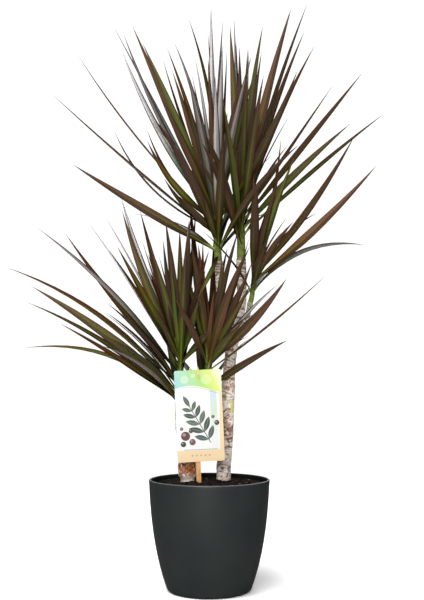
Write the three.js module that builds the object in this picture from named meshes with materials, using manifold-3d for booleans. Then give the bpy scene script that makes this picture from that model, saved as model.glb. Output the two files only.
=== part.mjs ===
// Potted dracaena: a tall cane with three shoots and a short cane with two shoots in one round pot.
// Millimetres, +Z up, origin at the middle of the pot's flat base, the front of the plant towards -Y.
import * as THREE from "three";
import { mergeVertices } from "three/addons/utils/BufferGeometryUtils.js";
import Module from "manifold-3d";

// ---- Driving dimensions ----
const POT_HEIGHT = 180;
const RIM_RADIUS = 100;
const FOOT_RADIUS = 62; // flat part of the base
const WALL = 2.4;
const FLOOR = 4;
const LIP_RADIUS = 1.9; // the rim is rolled a little thicker than the wall
const POT_SIDES = 36;
const GAP = 0.3; // clearance between pieces that touch

const SOIL_EDGE = 171;
const SOIL_TOP = 176; // the filling mounds up in the middle
const CANE_BOTTOM = 96; // the canes end this high, inside the soil

const CARD = { width: 77, height: 149, thickness: 0.8, bottom: 211, shift: 5.5, corner: 1.5 };
const HOLDER = { x: -16.5, y: -30, bottom: 110, fork: 290, top: 365, width: 8, thickness: 2.4 };
const PRONG = { width: 2.8, spread: 6.4 };
const HOOK = { top: 362, bottom: 346, thickness: 1 };
const TAG_STRIPS = 6;
const LEAN = THREE.MathUtils.degToRad(2.7); // card and holder lean together, to the viewer's left

const LABEL = { width: 5.4, height: 22, thickness: 0.6, bearing: THREE.MathUtils.degToRad(38) };
const LABEL_SEAT = 11.7; // the cane's radius under the label

const LEAF_WIDTH = 15.5;
const KEEL = 1.9; // a blade's thickness along its middle, at the root
const KEEL_LOSS = 0.4; // the share of it that is lost towards the tip
const BLADE_STOPS = [0, 0.18, 0.42, 0.7];
const WIDEST = 0.4; // where along its length a blade is widest
const ROOT_SHARE = 0.3; // width at the root, as a share of the widest
const SPINE_PARTS = 8;
const LEAF_MARGIN = 2.4; // free space kept between a leaf and what it must not touch
const SIBLING_MARGIN = 1.2; // the same between leaves of one head, past their roots
const STEM_NECK = 12; // a stem tip keeps its shoot's direction this far
const STEM_TOP_RADIUS = 2.6;
const OUTER_WIDTHS = [0.9, 1.08]; // spread of the widths, as shares of LEAF_WIDTH
const SPIRAL = {
  widths: [0.85, 1.02],
  lengths: [0.92, 1.06],
  roll: 0.6,
  steepest: THREE.MathUtils.degToRad(82),
  flattest: THREE.MathUtils.degToRad(24),
  bows: [0.01, 0.08],
  crowding: 0.8, // how strongly the bearings are drawn to the front and the back
  sideways: 0.35, // the share of its length that a leaf loses when it points to a side
};
// Leaves are rooted from so many mm above a stem's base up to a share of its height, the upright ones higher.
const ROOTING = { lowest: 14, highest: 0.95, spread: 0.5 };

// The viewpoint that the plant is described from. One pixel is about 1.7 mm at the pot.
const VIEW = { x: 4.5, distance: 1520, height: 350, pitch: THREE.MathUtils.degToRad(4.81), focal: 904 };
const VIEW_CENTRE = { x: 212, y: 300 };

// ---- Small helpers ----
const v3 = (x, y, z) => new THREE.Vector3(x, y, z);
const v2 = (x, y) => new THREE.Vector2(x, y);
const UP = v3(0, 0, 1);
const TO_VIEWER = v3(0, -1, 0);
const TO_BACK = v3(0, 1, 0);
const GOLDEN_ANGLE = Math.PI * (3 - Math.sqrt(5));

function fromView(px, py, depth) {
  const up = VIEW_CENTRE.y - py;
  const cos = Math.cos(VIEW.pitch);
  const sin = Math.sin(VIEW.pitch);
  const reach = (VIEW.distance + depth) / (VIEW.focal * cos - up * sin);
  const height = VIEW.height + (VIEW.focal * sin + up * cos) * reach;
  return v3(VIEW.x + (px - VIEW_CENTRE.x) * reach, depth, height);
}

function seededDraw(seed) {
  let state = seed;
  return (low, high) => {
    state = (state * 1664525 + 1013904223) % 4294967296;
    return low + ((high - low) * state) / 4294967296;
  };
}

const clamp01 = (t) => Math.min(Math.max(t, 0), 1);

function smooth(t) {
  const k = clamp01(t);
  return k * k * (3 - 2 * k);
}

// A value that runs smoothly through the stops [place, value].
function valueAt(stops, place) {
  const found = stops.findIndex(([stop]) => stop >= place);
  const next = found < 0 ? stops.length - 1 : Math.max(found, 1);
  const [from, low] = stops[next - 1];
  const [to, high] = stops[next];
  return low + (high - low) * smooth((place - from) / (to - from));
}

// ---- Solids from rings of points, and their boolean joins ----
const wasm = await Module();
wasm.setup();

// Rings hold the same number of points each, in order round the solid; the last may be a single tip.
function ringSolid(rings) {
  const sides = rings[0].length;
  const last = (rings.length - 1) * sides;
  const index = [];
  for (let i = 0; i + 1 < rings.length; i++) {
    const pointed = rings[i + 1].length === 1;
    const [low, high] = [i * sides, (i + 1) * sides];
    for (let j = 0; j < sides; j++) {
      const k = (j + 1) % sides;
      index.push(low + j, low + k, pointed ? high : high + k);
      if (!pointed) index.push(low + j, high + k, high + j);
    }
  }
  for (let j = 1; j + 1 < sides; j++) {
    index.push(0, j + 1, j);
    if (rings.at(-1).length > 1) index.push(last, last + j, last + j + 1);
  }
  const geometry = new THREE.BufferGeometry().setFromPoints(rings.flat());
  geometry.setIndex(index);
  return geometry;
}

function toSolid(geometry) {
  const bare = geometry.clone();
  bare.deleteAttribute("normal");
  bare.deleteAttribute("uv");
  const merged = mergeVertices(bare);
  const vertProperties = new Float32Array(merged.attributes.position.array);
  const triVerts = new Uint32Array(merged.index.array);
  return new wasm.Manifold(new wasm.Mesh({ numProp: 3, vertProperties, triVerts }));
}

function toGeometry(solid) {
  const mesh = solid.getMesh();
  const geometry = new THREE.BufferGeometry();
  geometry.setAttribute("position", new THREE.BufferAttribute(new Float32Array(mesh.vertProperties), 3));
  geometry.setIndex(new THREE.BufferAttribute(new Uint32Array(mesh.triVerts), 1));
  geometry.computeVertexNormals();
  return geometry;
}

// The join's largest shell is its outside: the small hollows that leaves seal between them are filled.
function joined(geometries) {
  const shells = geometries.map(toSolid).reduce((all, one) => all.add(one)).decompose();
  return shells.reduce((largest, shell) => (shell.volume() > largest.volume() ? shell : largest));
}

function tube(path, radiusStops, rings, sides, extra = 0) {
  const curve = new THREE.CatmullRomCurve3(path, false, "centripetal");
  const { normals, binormals } = curve.computeFrenetFrames(rings, false);
  const ring = (i) => {
    const centre = curve.getPointAt(i / rings);
    const radius = valueAt(radiusStops, i / rings) + extra;
    return Array.from({ length: sides }, (_, j) => {
      const angle = (2 * Math.PI * j) / sides;
      const point = centre.clone().addScaledVector(normals[i], radius * Math.cos(angle));
      return point.addScaledVector(binormals[i], radius * Math.sin(angle));
    });
  };
  return ringSolid(Array.from({ length: rings + 1 }, (_, i) => ring(i)));
}

const turned = (profile, sides) => new THREE.LatheGeometry(profile, sides).rotateX(Math.PI / 2);

// ---- Pot and soil ----
const HEEL = v2(71.2, 8);
const LIP = v2(RIM_RADIUS, POT_HEIGHT - LIP_RADIUS);
const SIDE = new THREE.CubicBezierCurve(HEEL, v2(90.3, 60), v2(97.3, 118), LIP);
const POT_INSIDE = SIDE.getPoints(6).slice(0, -1).map((p) => v2(p.x - WALL, p.y));
POT_INSIDE.push(v2(LIP.x - WALL, LIP.y - 3));

function potGeometry() {
  const corner = new THREE.QuadraticBezierCurve(v2(FOOT_RADIUS, 0), v2(69, 0), HEEL);
  const roll = new THREE.EllipseCurve(RIM_RADIUS - LIP_RADIUS, LIP.y, LIP_RADIUS, LIP_RADIUS, 0, Math.PI);
  const profile = [
    v2(0, 0),
    ...corner.getPoints(3),
    ...SIDE.getPoints(8).slice(1),
    ...roll.getPoints(5).slice(1),
    ...[...POT_INSIDE].reverse(),
    v2(FOOT_RADIUS, FLOOR),
    v2(0, FLOOR),
  ];
  return turned(profile, POT_SIDES);
}

function soilGeometry(held) {
  const wall = POT_INSIDE.filter((p) => p.y < SOIL_EDGE).map((p) => v2(p.x - GAP, p.y));
  const edge = v2(POT_INSIDE.at(-1).x - 1, SOIL_EDGE);
  const mound = new THREE.QuadraticBezierCurve(edge, v2(60, SOIL_TOP), v2(0, SOIL_TOP));
  const profile = [v2(0, FLOOR + GAP), v2(FOOT_RADIUS - GAP, FLOOR + GAP), ...wall, ...mound.getPoints(4)];
  const filling = toSolid(turned(profile, POT_SIDES));
  return toGeometry(held.reduce((soil, piece) => soil.subtract(toSolid(piece)), filling));
}

// ---- Canes: each is one woody piece with its shoots ----
const inSoil = (px, depth, height) => fromView(px, 483, depth).setZ(height);
const TALL = {
  trunk: [
    inSoil(223.5, 22, CANE_BOTTOM),
    inSoil(223.5, 22, 160),
    fromView(223.6, 470, 22),
    fromView(226, 440, 22),
    fromView(227.5, 400, 22),
    fromView(229, 375, 22),
    fromView(231, 352, 21),
    fromView(234.5, 333, 20),
    fromView(239.5, 315, 18),
    fromView(241.6, 296, 16),
    fromView(241.2, 259, 15),
  ],
  left: [fromView(231.5, 346, 20), fromView(225, 320, 10), fromView(221, 296, 3), fromView(218.5, 261.5, 0)],
  right: [fromView(237, 334, 17), fromView(243, 326, 10), fromView(247, 317, 6), fromView(250.3, 303, 4)],
  trunkRadii: [
    [0, 12.2], [0.2, 12], [0.5, 11.6], [0.62, 10], [0.69, 10.6], [0.75, 8.6], [0.9, 8.2], [1, 8.4],
  ],
  leftRadii: [[0, 7], [1, 7.2]],
  rightRadii: [[0, 6], [0.8, 4.8], [1, 5.2]],
};
const SHORT = {
  trunk: [
    inSoil(187.5, -3, CANE_BOTTOM),
    inSoil(187.5, -3, 165),
    fromView(187.5, 478, -3),
    fromView(187.3, 465, -3),
    fromView(186.5, 445, -3),
    fromView(186, 426, -3),
  ],
  left: [fromView(185.5, 444, -3), fromView(181, 432, -5), fromView(179.5, 412, -7)],
  right: [fromView(188.5, 444, -3), fromView(198, 431, -8), fromView(203, 408, -12)],
  trunkRadii: [[0, 10.5], [0.48, 11.5], [0.54, 15], [0.63, 15.4], [0.7, 14], [1, 14.2]],
  sideRadii: [[0, 8.5], [1, 7.6]],
};

const tallTrunk = (extra) => tube(TALL.trunk, TALL.trunkRadii, 28, 10, extra);
const shortTrunk = (extra) => tube(SHORT.trunk, SHORT.trunkRadii, 18, 12, extra);

function tallCane() {
  const shoots = [tube(TALL.left, TALL.leftRadii, 10, 10), tube(TALL.right, TALL.rightRadii, 7, 10)];
  return toGeometry(joined([tallTrunk(), ...shoots]));
}

function shortCane() {
  const shoots = [SHORT.left, SHORT.right].map((path) => tube(path, SHORT.sideRadii, 6, 10));
  return toGeometry(joined([shortTrunk(), ...shoots]));
}

// ---- Plant tag: a printed card in front of a forked holder that stands in the soil ----
function plate(outline, thickness) {
  const options = { depth: thickness, bevelEnabled: false, curveSegments: 3 };
  return new THREE.ExtrudeGeometry(outline, options).rotateX(Math.PI / 2);
}

function roundedCard({ width, height, corner: r }) {
  const [w, h] = [width / 2, height];
  const card = new THREE.Shape().moveTo(-w + r, 0);
  card.lineTo(w - r, 0).absarc(w - r, r, r, -Math.PI / 2, 0);
  card.lineTo(w, h - r).absarc(w - r, h - r, r, 0, Math.PI / 2);
  card.lineTo(-w + r, h).absarc(-w + r, h - r, r, Math.PI / 2, Math.PI);
  return card.lineTo(-w, r).absarc(-w + r, r, r, Math.PI, 1.5 * Math.PI);
}

function holderOutline(extra = 0) {
  const { bottom, fork, top } = HOLDER;
  const half = HOLDER.width / 2 + extra;
  const outer = PRONG.spread + PRONG.width / 2;
  const inner = PRONG.spread - PRONG.width / 2;
  const right = [
    [0.8 + extra, bottom - extra], [half, bottom + 14], [half, fork - 12], [outer, fork + 8],
    [outer, top - 2], [PRONG.spread, top], [inner, top - 2], [inner, fork + 10], [0, fork],
  ];
  const left = right.slice(0, -1).reverse().map(([x, z]) => [-x, z]);
  return new THREE.Shape([...right, ...left].map(([x, z]) => v2(x, z)));
}

// Both prongs stand up behind the card. The right one is also folded over its top edge and down its front.
function hook() {
  const front = -HOLDER.thickness - CARD.thickness - 2 * GAP;
  const outline = [
    [-0.5, HOOK.top - 4], [-0.5, HOOK.top], [front - HOOK.thickness, HOOK.top],
    [front - HOOK.thickness, HOOK.bottom], [front, HOOK.bottom], [front, HOOK.top - HOOK.thickness],
    [-HOLDER.thickness, HOOK.top - HOOK.thickness], [-HOLDER.thickness, HOOK.top - 4],
  ];
  const bend = new THREE.Shape(outline.map(([y, z]) => v2(y, z)));
  const strip = new THREE.ExtrudeGeometry(bend, { depth: PRONG.width, bevelEnabled: false });
  return strip.rotateX(Math.PI / 2).rotateZ(Math.PI / 2).translate(PRONG.spread - PRONG.width / 2, 0, 0);
}

function leaning(geometry, x, y) {
  return geometry.translate(0, 0, -SOIL_TOP).rotateY(-LEAN).translate(x, y, SOIL_TOP);
}

// A plate reaches forwards from its y, so the card's back faces the holder's front.
const forkedStick = (extra = 0) => leaning(
  plate(holderOutline(extra), HOLDER.thickness + 2 * extra),
  HOLDER.x,
  HOLDER.y + HOLDER.thickness + extra,
);
const holder = () => toGeometry(joined([
  forkedStick(),
  leaning(hook(), HOLDER.x, HOLDER.y + HOLDER.thickness),
]));
const card = () => leaning(
  plate(roundedCard(CARD), CARD.thickness).translate(CARD.shift, 0, CARD.bottom),
  HOLDER.x,
  HOLDER.y - GAP,
);

// A small blank strip stuck upright to the tall cane, to the right of the viewer's side.
function labelGeometry() {
  const [top, bottom] = [TALL.trunk[4], TALL.trunk[3]];
  const middle = fromView(227.4, 406.5, 22);
  const out = LABEL_SEAT + GAP + LABEL.thickness / 2;
  const strip = new THREE.BoxGeometry(LABEL.width, LABEL.thickness, LABEL.height);
  strip.translate(0, -out, 0).rotateZ(LABEL.bearing);
  strip.rotateY(Math.atan2(top.x - bottom.x, top.z - bottom.z));
  return strip.translate(middle.x, middle.y, middle.z);
}

// ---- Heads of leaves ----
// Each head has a green stem tip that its leaves are rooted in, seated on its shoot. Its outer leaves are
// each written as [tip px, tip py, tip depth, bow, shown width], the bow as a share of the length and the
// width as the share that the viewpoint sees; a spiral of other leaves fills the head on all sides.
const HEADS = {
  leaves_tall_left: {
    shoot: TALL.left,
    radius: 6.6,
    tip: [216, 214, -2],
    spiral: { count: 23, lengths: [205, 320], start: 0.4 },
    outer: [
      [132, 25, -30, 0, 1], [298, 69, -95, -0.04, 0.9], [72, 164, -60, -0.01, 1], [122, 51, 45, -0.035, 0.9],
      [123, 32, 10, -0.03, 0.6], [114, 27, 70, 0, 0.4], [78, 55, 25, -0.03, 0.35], [52, 94, -25, -0.01, 0.4],
      [114, 130, 70, -0.1, 0.4], [147, 129, 90, -0.08, 0.5], [147, 140, 20, -0.08, 0.8],
      [163, 60, 30, -0.01, 0.5], [167, 48, -35, 0.03, 0.7], [174, 42, 60, 0.05, 0.7],
      [192, 75, 90, 0.02, 0.4], [188, 17, 5, 0.05, 0.6], [195, 58, 110, 0.04, 0.5],
      [211, 5, -15, -0.03, 0.9], [208, 33, 40, 0.02, 0.4], [212, 55, 80, 0.02, 0.8],
      [223, 20, 20, 0.02, 0.5], [227, 50, 60, -0.02, 0.4], [160, 95, -80, 0.02, 0.8],
      [186, 100, -95, 0.03, 0.9], [179, 196, -70, -0.02, 0.9], [164, 178, 50, -0.06, 0.8],
      [196, 300, -60, -0.03, 0.6], [186, 150, 20, -0.02, 0.8], [205, 200, -95, 0, 0.9],
      [142, 42, -70, 0.01, 0.9], [172, 70, -75, 0.01, 0.8],
    ],
  },
  leaves_tall_middle: {
    shoot: TALL.trunk,
    radius: 7.6,
    tip: [241, 212, 14],
    spiral: { count: 24, lengths: [205, 320], start: 1.9 },
    outer: [
      [230, 25, -30, 0, 1], [290, 11, -25, 0.014, 1], [351, 123, -30, 0.02, 0.9], [363, 72, 5, 0, 0.7],
      [263, 25, -10, 0.02, 0.8], [308, 2, 15, 0.02, 0.6], [292, 6, 45, 0.01, 0.7], [315, 45, -45, 0.03, 0.6],
      [385, 113, 35, 0.015, 0.5], [333, 85, 60, 0, 0.35], [305, 30, 80, 0.02, 0.6], [234, 17, 30, 0, 0.5],
      [236, 40, 70, 0, 0.6], [241, 66, 100, 0, 0.5], [249, 48, 60, 0, 0.6], [200, 160, -60, 0, 0.8],
      [253, 178, -65, 0.02, 0.7], [262, 118, -85, 0.04, 0.9], [278, 60, 110, 0.03, 0.5],
    ],
  },
  leaves_tall_right: {
    shoot: TALL.right,
    radius: 4.6,
    tip: [254, 274, 2],
    spiral: { count: 13, lengths: [120, 190], start: 3.1 },
    outer: [
      [377, 165, -30, -0.025, 1], [355, 135, 30, -0.03, 0.8], [365, 245, -10, 0.15, 0.5],
      [294, 158, -55, 0.02, 0.9], [281, 138, 40, -0.04, 0.6], [317, 213, 60, 0.08, 0.3],
      [285, 230, 80, 0.05, 0.4], [253, 190, -15, 0, 0.8], [259, 212, 45, 0, 0.6],
      [280, 172, -90, 0.02, 0.7],
    ],
  },
  leaves_short_left: {
    shoot: SHORT.left,
    radius: 7,
    tip: [181, 354, -12],
    spiral: { count: 24, lengths: [185, 280], start: 0.9 },
    outer: [
      [5, 267, -20, 0.08, 0.6], [31, 286, -50, 0.03, 1], [36, 227, -5, 0.045, 0.6],
      [26, 302, 25, 0.05, 0.6], [59, 323, -40, 0.02, 0.6], [24, 348, -10, 0.13, 0.5],
      [122, 210, -50, -0.03, 1], [121, 197, 0, -0.02, 0.8], [65, 233, 50, -0.02, 0.7],
      [85, 307, -90, 0.02, 0.4], [88, 222, 80, 0.015, 0.3], [106, 218, 50, 0.015, 0.3],
      [109, 250, 25, 0.01, 0.5], [117, 246, -30, 0, 0.8], [140, 210, -35, -0.005, 0.8],
      [142, 240, 80, 0, 0.3],
      [163, 239, -60, -0.04, 0.8], [167, 231, -20, 0.03, 0.5], [180, 240, 30, -0.05, 0.3],
      [207, 256, -75, 0.01, 0.6], [199, 298, -40, -0.02, 0.9], [226, 318, -48, 0.02, 0.8],
      [190, 235, -90, -0.02, 0.6], [170, 258, -90, 0, 0.6], [196, 208, -20, -0.02, 0.6],
      [148, 268, -85, 0.02, 0.6], [160, 275, 60, 0, 0.5], [150, 300, -90, 0.03, 0.6],
    ],
  },
  leaves_short_right: {
    shoot: SHORT.right,
    radius: 7,
    tip: [209, 354, -20],
    spiral: { count: 24, lengths: [185, 280], start: 2.6 },
    outer: [
      [287, 278, -55, -0.04, 1], [325, 276, -50, -0.02, 0.3], [288, 340, 62, 0.02, 0.8],
      [257, 313, -80, 0.1, 0.3], [252, 262, -60, -0.02, 0.8], [249, 238, -70, -0.02, 0.4],
      [251, 284, -95, 0, 0.7], [189, 193, 30, -0.02, 0.8], [222, 258, -75, -0.02, 0.7],
      [187, 280, -25, 0.02, 0.8], [236, 300, 70, 0.03, 0.5], [214, 235, 45, -0.02, 0.6],
      [243, 322, -45, 0.03, 0.8], [176, 300, -62, 0.02, 0.8], [233, 344, -50, 0.05, 0.7],
      [203, 240, 40, -0.02, 0.6], [225, 262, 0, 0, 0.6], [214, 290, -110, 0, 0.8],
      [229, 285, -95, 0.02, 0.6], [190, 250, 70, 0, 0.5], [240, 287, 20, 0.02, 0.6],
    ],
  },
};

// A leaf bends along a quadratic curve, its middle raised by bow, and its width runs along `side`.
function leafBetween(root, tip, bow, width, sideOf) {
  const chord = tip.clone().sub(root);
  const along = chord.clone().normalize();
  const level = along.clone().cross(UP).normalize();
  const lift = level.clone().cross(along);
  const middle = root.clone().addScaledVector(chord, 0.5).addScaledVector(lift, 2 * bow * chord.length());
  const side = sideOf(along, level, lift);
  if (side.dot(level) < 0) side.negate();
  return { curve: new THREE.QuadraticBezierCurve3(root, middle, tip), side, width };
}

const rolledBy = (angle) => (along, level, lift) =>
  level.clone().multiplyScalar(Math.cos(angle)).addScaledVector(lift, Math.sin(angle));

const showing = (share) => (along) => {
  const flat = along.clone().cross(TO_VIEWER).normalize();
  const edge = along.clone().cross(flat);
  return flat.multiplyScalar(share).addScaledVector(edge, Math.sqrt(1 - share * share));
};

function halfWidth(leaf, t) {
  const growing = ROOT_SHARE + (1 - ROOT_SHARE) * smooth(t / WIDEST);
  const tapering = 1 - ((t - WIDEST) / (1 - WIDEST)) ** 1.5;
  return (leaf.width / 2) * (t < WIDEST ? growing : tapering);
}

function acrossAt(leaf, t) {
  const along = leaf.curve.getTangent(t);
  return leaf.side.clone().addScaledVector(along, -leaf.side.dot(along)).normalize();
}

function bladeGeometry(leaf) {
  const rings = BLADE_STOPS.map((t) => {
    const across = acrossAt(leaf, t);
    const under = leaf.curve.getTangent(t).cross(across);
    const half = halfWidth(leaf, t);
    const point = leaf.curve.getPoint(t);
    const keel = KEEL * (1 - KEEL_LOSS * t);
    return [
      point.clone().addScaledVector(across, half),
      point.clone().addScaledVector(under, keel),
      point.clone().addScaledVector(across, -half),
    ];
  });
  return ringSolid([...rings, [leaf.curve.getPoint(1)]]);
}

// ---- Keeping leaves clear of the other heads, the canes and the tag ----
// Everything is compared as a row of straight stretches, half wide across their blade or all round.
function leafStretches(leaf, owner) {
  return Array.from({ length: SPINE_PARTS }, (_, i) => {
    const [from, to] = [i / SPINE_PARTS, (i + 1) / SPINE_PARTS];
    const half = Math.max(halfWidth(leaf, from), halfWidth(leaf, to));
    const across = acrossAt(leaf, (from + to) / 2);
    return { a: leaf.curve.getPoint(from), b: leaf.curve.getPoint(to), across, half, owner, part: i };
  });
}

const roundStretches = (points, half, owner) =>
  points.slice(1).map((b, i) => ({ a: points[i], b, across: null, half, owner, part: 0 }));

const thickest = (stops) => Math.max(...stops.map(([, radius]) => radius));

// The card and its holder as upright strips side by side.
function tagStretches() {
  const half = CARD.width / 2 / TAG_STRIPS;
  return Array.from({ length: TAG_STRIPS }, (_, i) => {
    const x = CARD.shift + (2 * i + 1 - TAG_STRIPS) * half;
    const ends = [CARD.bottom, HOLDER.top].map((z) => v3(x, 0, z - SOIL_TOP).applyAxisAngle(TO_BACK, -LEAN));
    const [a, b] = ends.map((end) => end.add(v3(HOLDER.x, HOLDER.y, SOIL_TOP)));
    return { a, b, across: v3(1, 0, 0), half: half + 1, owner: "tag", part: 0 };
  });
}

function shortestBetween(p, q) {
  const u = p.b.clone().sub(p.a);
  const v = q.b.clone().sub(q.a);
  const w = p.a.clone().sub(q.a);
  const [uu, uv, vv, uw, vw] = [u.dot(u), u.dot(v), v.dot(v), u.dot(w), v.dot(w)];
  const det = uu * vv - uv * uv;
  const crossing = det > 1 ? clamp01((uv * vw - vv * uw) / det) : 0.5;
  const t = clamp01((uv * crossing + vw) / vv);
  const s = clamp01((uv * t - uw) / uu);
  return w.addScaledVector(u, s).addScaledVector(v, -t);
}

const reachTowards = (stretch, direction) =>
  stretch.half * (stretch.across ? Math.abs(stretch.across.dot(direction)) : 1);

function tooClose(p, q) {
  const margin = p.owner === q.owner ? SIBLING_MARGIN : LEAF_MARGIN;
  const apart = shortestBetween(p, q);
  const distance = apart.length();
  if (distance > p.half + q.half + margin) return false;
  if (distance < margin) return true;
  apart.divideScalar(distance);
  return distance < reachTowards(p, apart) + reachTowards(q, apart) + margin;
}

// Leaves of one head may grow into each other along their first few stretches.
function isClear(stretches, taken, rooted) {
  const mayTouch = (p, q) => p.owner === q.owner && Math.min(p.part, q.part) < rooted;
  return !stretches.some((p) => taken.some((q) => !mayTouch(p, q) && tooClose(p, q)));
}

// ---- Placing the leaves ----
function stemTip({ shoot, tip, radius }) {
  const end = shoot.at(-1);
  const direction = end.clone().sub(shoot.at(-2)).normalize();
  const base = end.clone().addScaledVector(direction, GAP);
  const neck = end.clone().addScaledVector(direction, STEM_NECK);
  const top = fromView(...tip);
  const radii = [[0, radius], [0.6, radius * 0.9], [1, STEM_TOP_RADIUS]];
  return { base, top, radius, geometry: tube([base, neck, neck.clone().lerp(top, 0.5), top], radii, 6, 8) };
}

// Upright leaves are the young ones and are rooted high on the stem tip.
function rootOf(stem, along) {
  const rise = stem.top.clone().sub(stem.base);
  const steep = (along.dot(rise.clone().normalize()) - ROOTING.spread) / (1 - ROOTING.spread);
  const height = THREE.MathUtils.lerp(ROOTING.lowest / rise.length(), ROOTING.highest, smooth(steep));
  return stem.base.clone().addScaledVector(rise, height);
}

const SIDESTEPS = Array.from({ length: 17 }, (_, i) => Math.ceil(i / 2) * (i % 2 ? 1 : -1));
const DEPTH_STEP = 9;
const TURN_STEP = THREE.MathUtils.degToRad(7);

// The outer leaf, moved nearer or farther by the sidestep without changing where it shows.
function outerLeaf(stem, [px, py, depth, bow, shown], width, sidestep) {
  const tip = fromView(px, py, depth + sidestep * DEPTH_STEP);
  const root = rootOf(stem, tip.clone().sub(stem.base).normalize());
  return leafBetween(root, tip, bow, width, showing(shown));
}

// Leaf `age` of the spiral, from 0 for the youngest to 1 for the oldest; most point forwards or backwards.
function spiralLeaf(stem, { age, bearing, length, roll, width }, sidestep) {
  const drawn = bearing + SPIRAL.crowding * Math.sin(2 * bearing) + sidestep * TURN_STEP;
  const rise = THREE.MathUtils.lerp(SPIRAL.steepest, SPIRAL.flattest, age ** 0.9);
  const flat = Math.cos(rise);
  const along = v3(flat * Math.cos(drawn), flat * Math.sin(drawn), Math.sin(rise));
  const root = rootOf(stem, along);
  const tip = root.clone().addScaledVector(along, length * (1 - SPIRAL.sideways * Math.abs(Math.cos(drawn))));
  const bow = THREE.MathUtils.lerp(...SPIRAL.bows, age);
  return leafBetween(root, tip, bow, width, rolledBy(roll));
}

function plantLeaves(stems) {
  const taken = [
    ...roundStretches(TALL.trunk, thickest(TALL.trunkRadii), "cane"),
    ...roundStretches(TALL.left, thickest(TALL.leftRadii), "cane"),
    ...roundStretches(TALL.right, thickest(TALL.rightRadii), "cane"),
    ...roundStretches(SHORT.trunk, thickest(SHORT.trunkRadii), "cane"),
    ...roundStretches(SHORT.left, thickest(SHORT.sideRadii), "cane"),
    ...roundStretches(SHORT.right, thickest(SHORT.sideRadii), "cane"),
    ...tagStretches(),
  ];
  const planted = {};
  for (const [name, stem] of Object.entries(stems)) {
    taken.push(...roundStretches([stem.base, stem.top], stem.radius, name));
    planted[name] = [];
  }
  const place = (name, leafAt) => {
    for (const rooted of [1, 2, SPINE_PARTS]) {
      for (const sidestep of SIDESTEPS) {
        const leaf = leafAt(sidestep);
        const stretches = leafStretches(leaf, name);
        if (isClear(stretches, taken, rooted)) {
          planted[name].push(leaf);
          taken.push(...stretches);
          return;
        }
      }
    }
  };
  const draw = seededDraw(11);
  for (const [name, { outer }] of Object.entries(HEADS)) {
    for (const leaf of outer) {
      const width = LEAF_WIDTH * draw(...OUTER_WIDTHS);
      place(name, (sidestep) => outerLeaf(stems[name], leaf, width, sidestep));
    }
  }
  for (const [name, { spiral }] of Object.entries(HEADS)) {
    const [short, long] = spiral.lengths;
    for (let i = 0; i < spiral.count; i++) {
      const age = (i + 0.5) / spiral.count;
      const leaf = {
        age,
        bearing: spiral.start + i * GOLDEN_ANGLE,
        length: (short + (long - short) * Math.sin(Math.PI * (0.2 + 0.6 * age))) * draw(...SPIRAL.lengths),
        roll: draw(-SPIRAL.roll, SPIRAL.roll),
        width: LEAF_WIDTH * draw(...SPIRAL.widths),
      };
      place(name, (sidestep) => spiralLeaf(stems[name], leaf, sidestep));
    }
  }
  return planted;
}

// ---- The plant ----
const plant = new THREE.Group();

function addPart(name, geometry, color, roughness) {
  const mesh = new THREE.Mesh(geometry, new THREE.MeshStandardMaterial({ color, roughness, metalness: 0 }));
  mesh.name = name;
  plant.add(mesh);
}

addPart("pot", potGeometry(), 0x3a403f, 0.45);
addPart("soil", soilGeometry([tallTrunk(GAP), shortTrunk(GAP), forkedStick(GAP)]), 0x2b1d14, 1);
addPart("tall_cane", tallCane(), 0xb5a08c, 0.9);
addPart("short_cane", shortCane(), 0xa07a52, 0.9);
addPart("cane_label", labelGeometry(), 0xd8d070, 0.5);
addPart("tag_card", card(), 0xf4f1e6, 0.5);
addPart("tag_holder", holder(), 0xd8b078, 0.7);

const stems = Object.fromEntries(Object.entries(HEADS).map(([name, head]) => [name, stemTip(head)]));
for (const [name, leaves] of Object.entries(plantLeaves(stems))) {
  addPart(name, toGeometry(joined([stems[name].geometry, ...leaves.map(bladeGeometry)])), 0x4a3a26, 0.5);
}

export default plant;
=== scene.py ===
# Looks for the potted dracaena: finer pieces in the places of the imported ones, and their materials.
# Shapes are worked out in millimetres, in the part's own frame, and turned into metres as each mesh is made.
import math
from collections import namedtuple
from itertools import combinations

import bpy
import numpy as np
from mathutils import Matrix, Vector


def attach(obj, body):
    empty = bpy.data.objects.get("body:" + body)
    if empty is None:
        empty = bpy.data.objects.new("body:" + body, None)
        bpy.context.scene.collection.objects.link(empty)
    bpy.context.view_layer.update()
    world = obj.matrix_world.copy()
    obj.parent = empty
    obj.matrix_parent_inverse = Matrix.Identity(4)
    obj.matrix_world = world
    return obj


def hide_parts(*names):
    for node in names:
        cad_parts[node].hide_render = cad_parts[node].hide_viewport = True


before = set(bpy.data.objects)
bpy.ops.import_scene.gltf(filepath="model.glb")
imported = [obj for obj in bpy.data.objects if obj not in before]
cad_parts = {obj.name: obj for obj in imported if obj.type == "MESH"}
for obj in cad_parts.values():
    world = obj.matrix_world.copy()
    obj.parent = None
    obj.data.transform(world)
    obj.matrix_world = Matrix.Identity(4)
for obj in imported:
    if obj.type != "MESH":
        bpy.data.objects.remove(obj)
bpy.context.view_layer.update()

MM = 0.001
UP = np.array([0.0, 0.0, 1.0])
TO_VIEWER = np.array([0.0, -1.0, 0.0])
GOLDEN_ANGLE = math.pi * (3 - math.sqrt(5))

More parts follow.
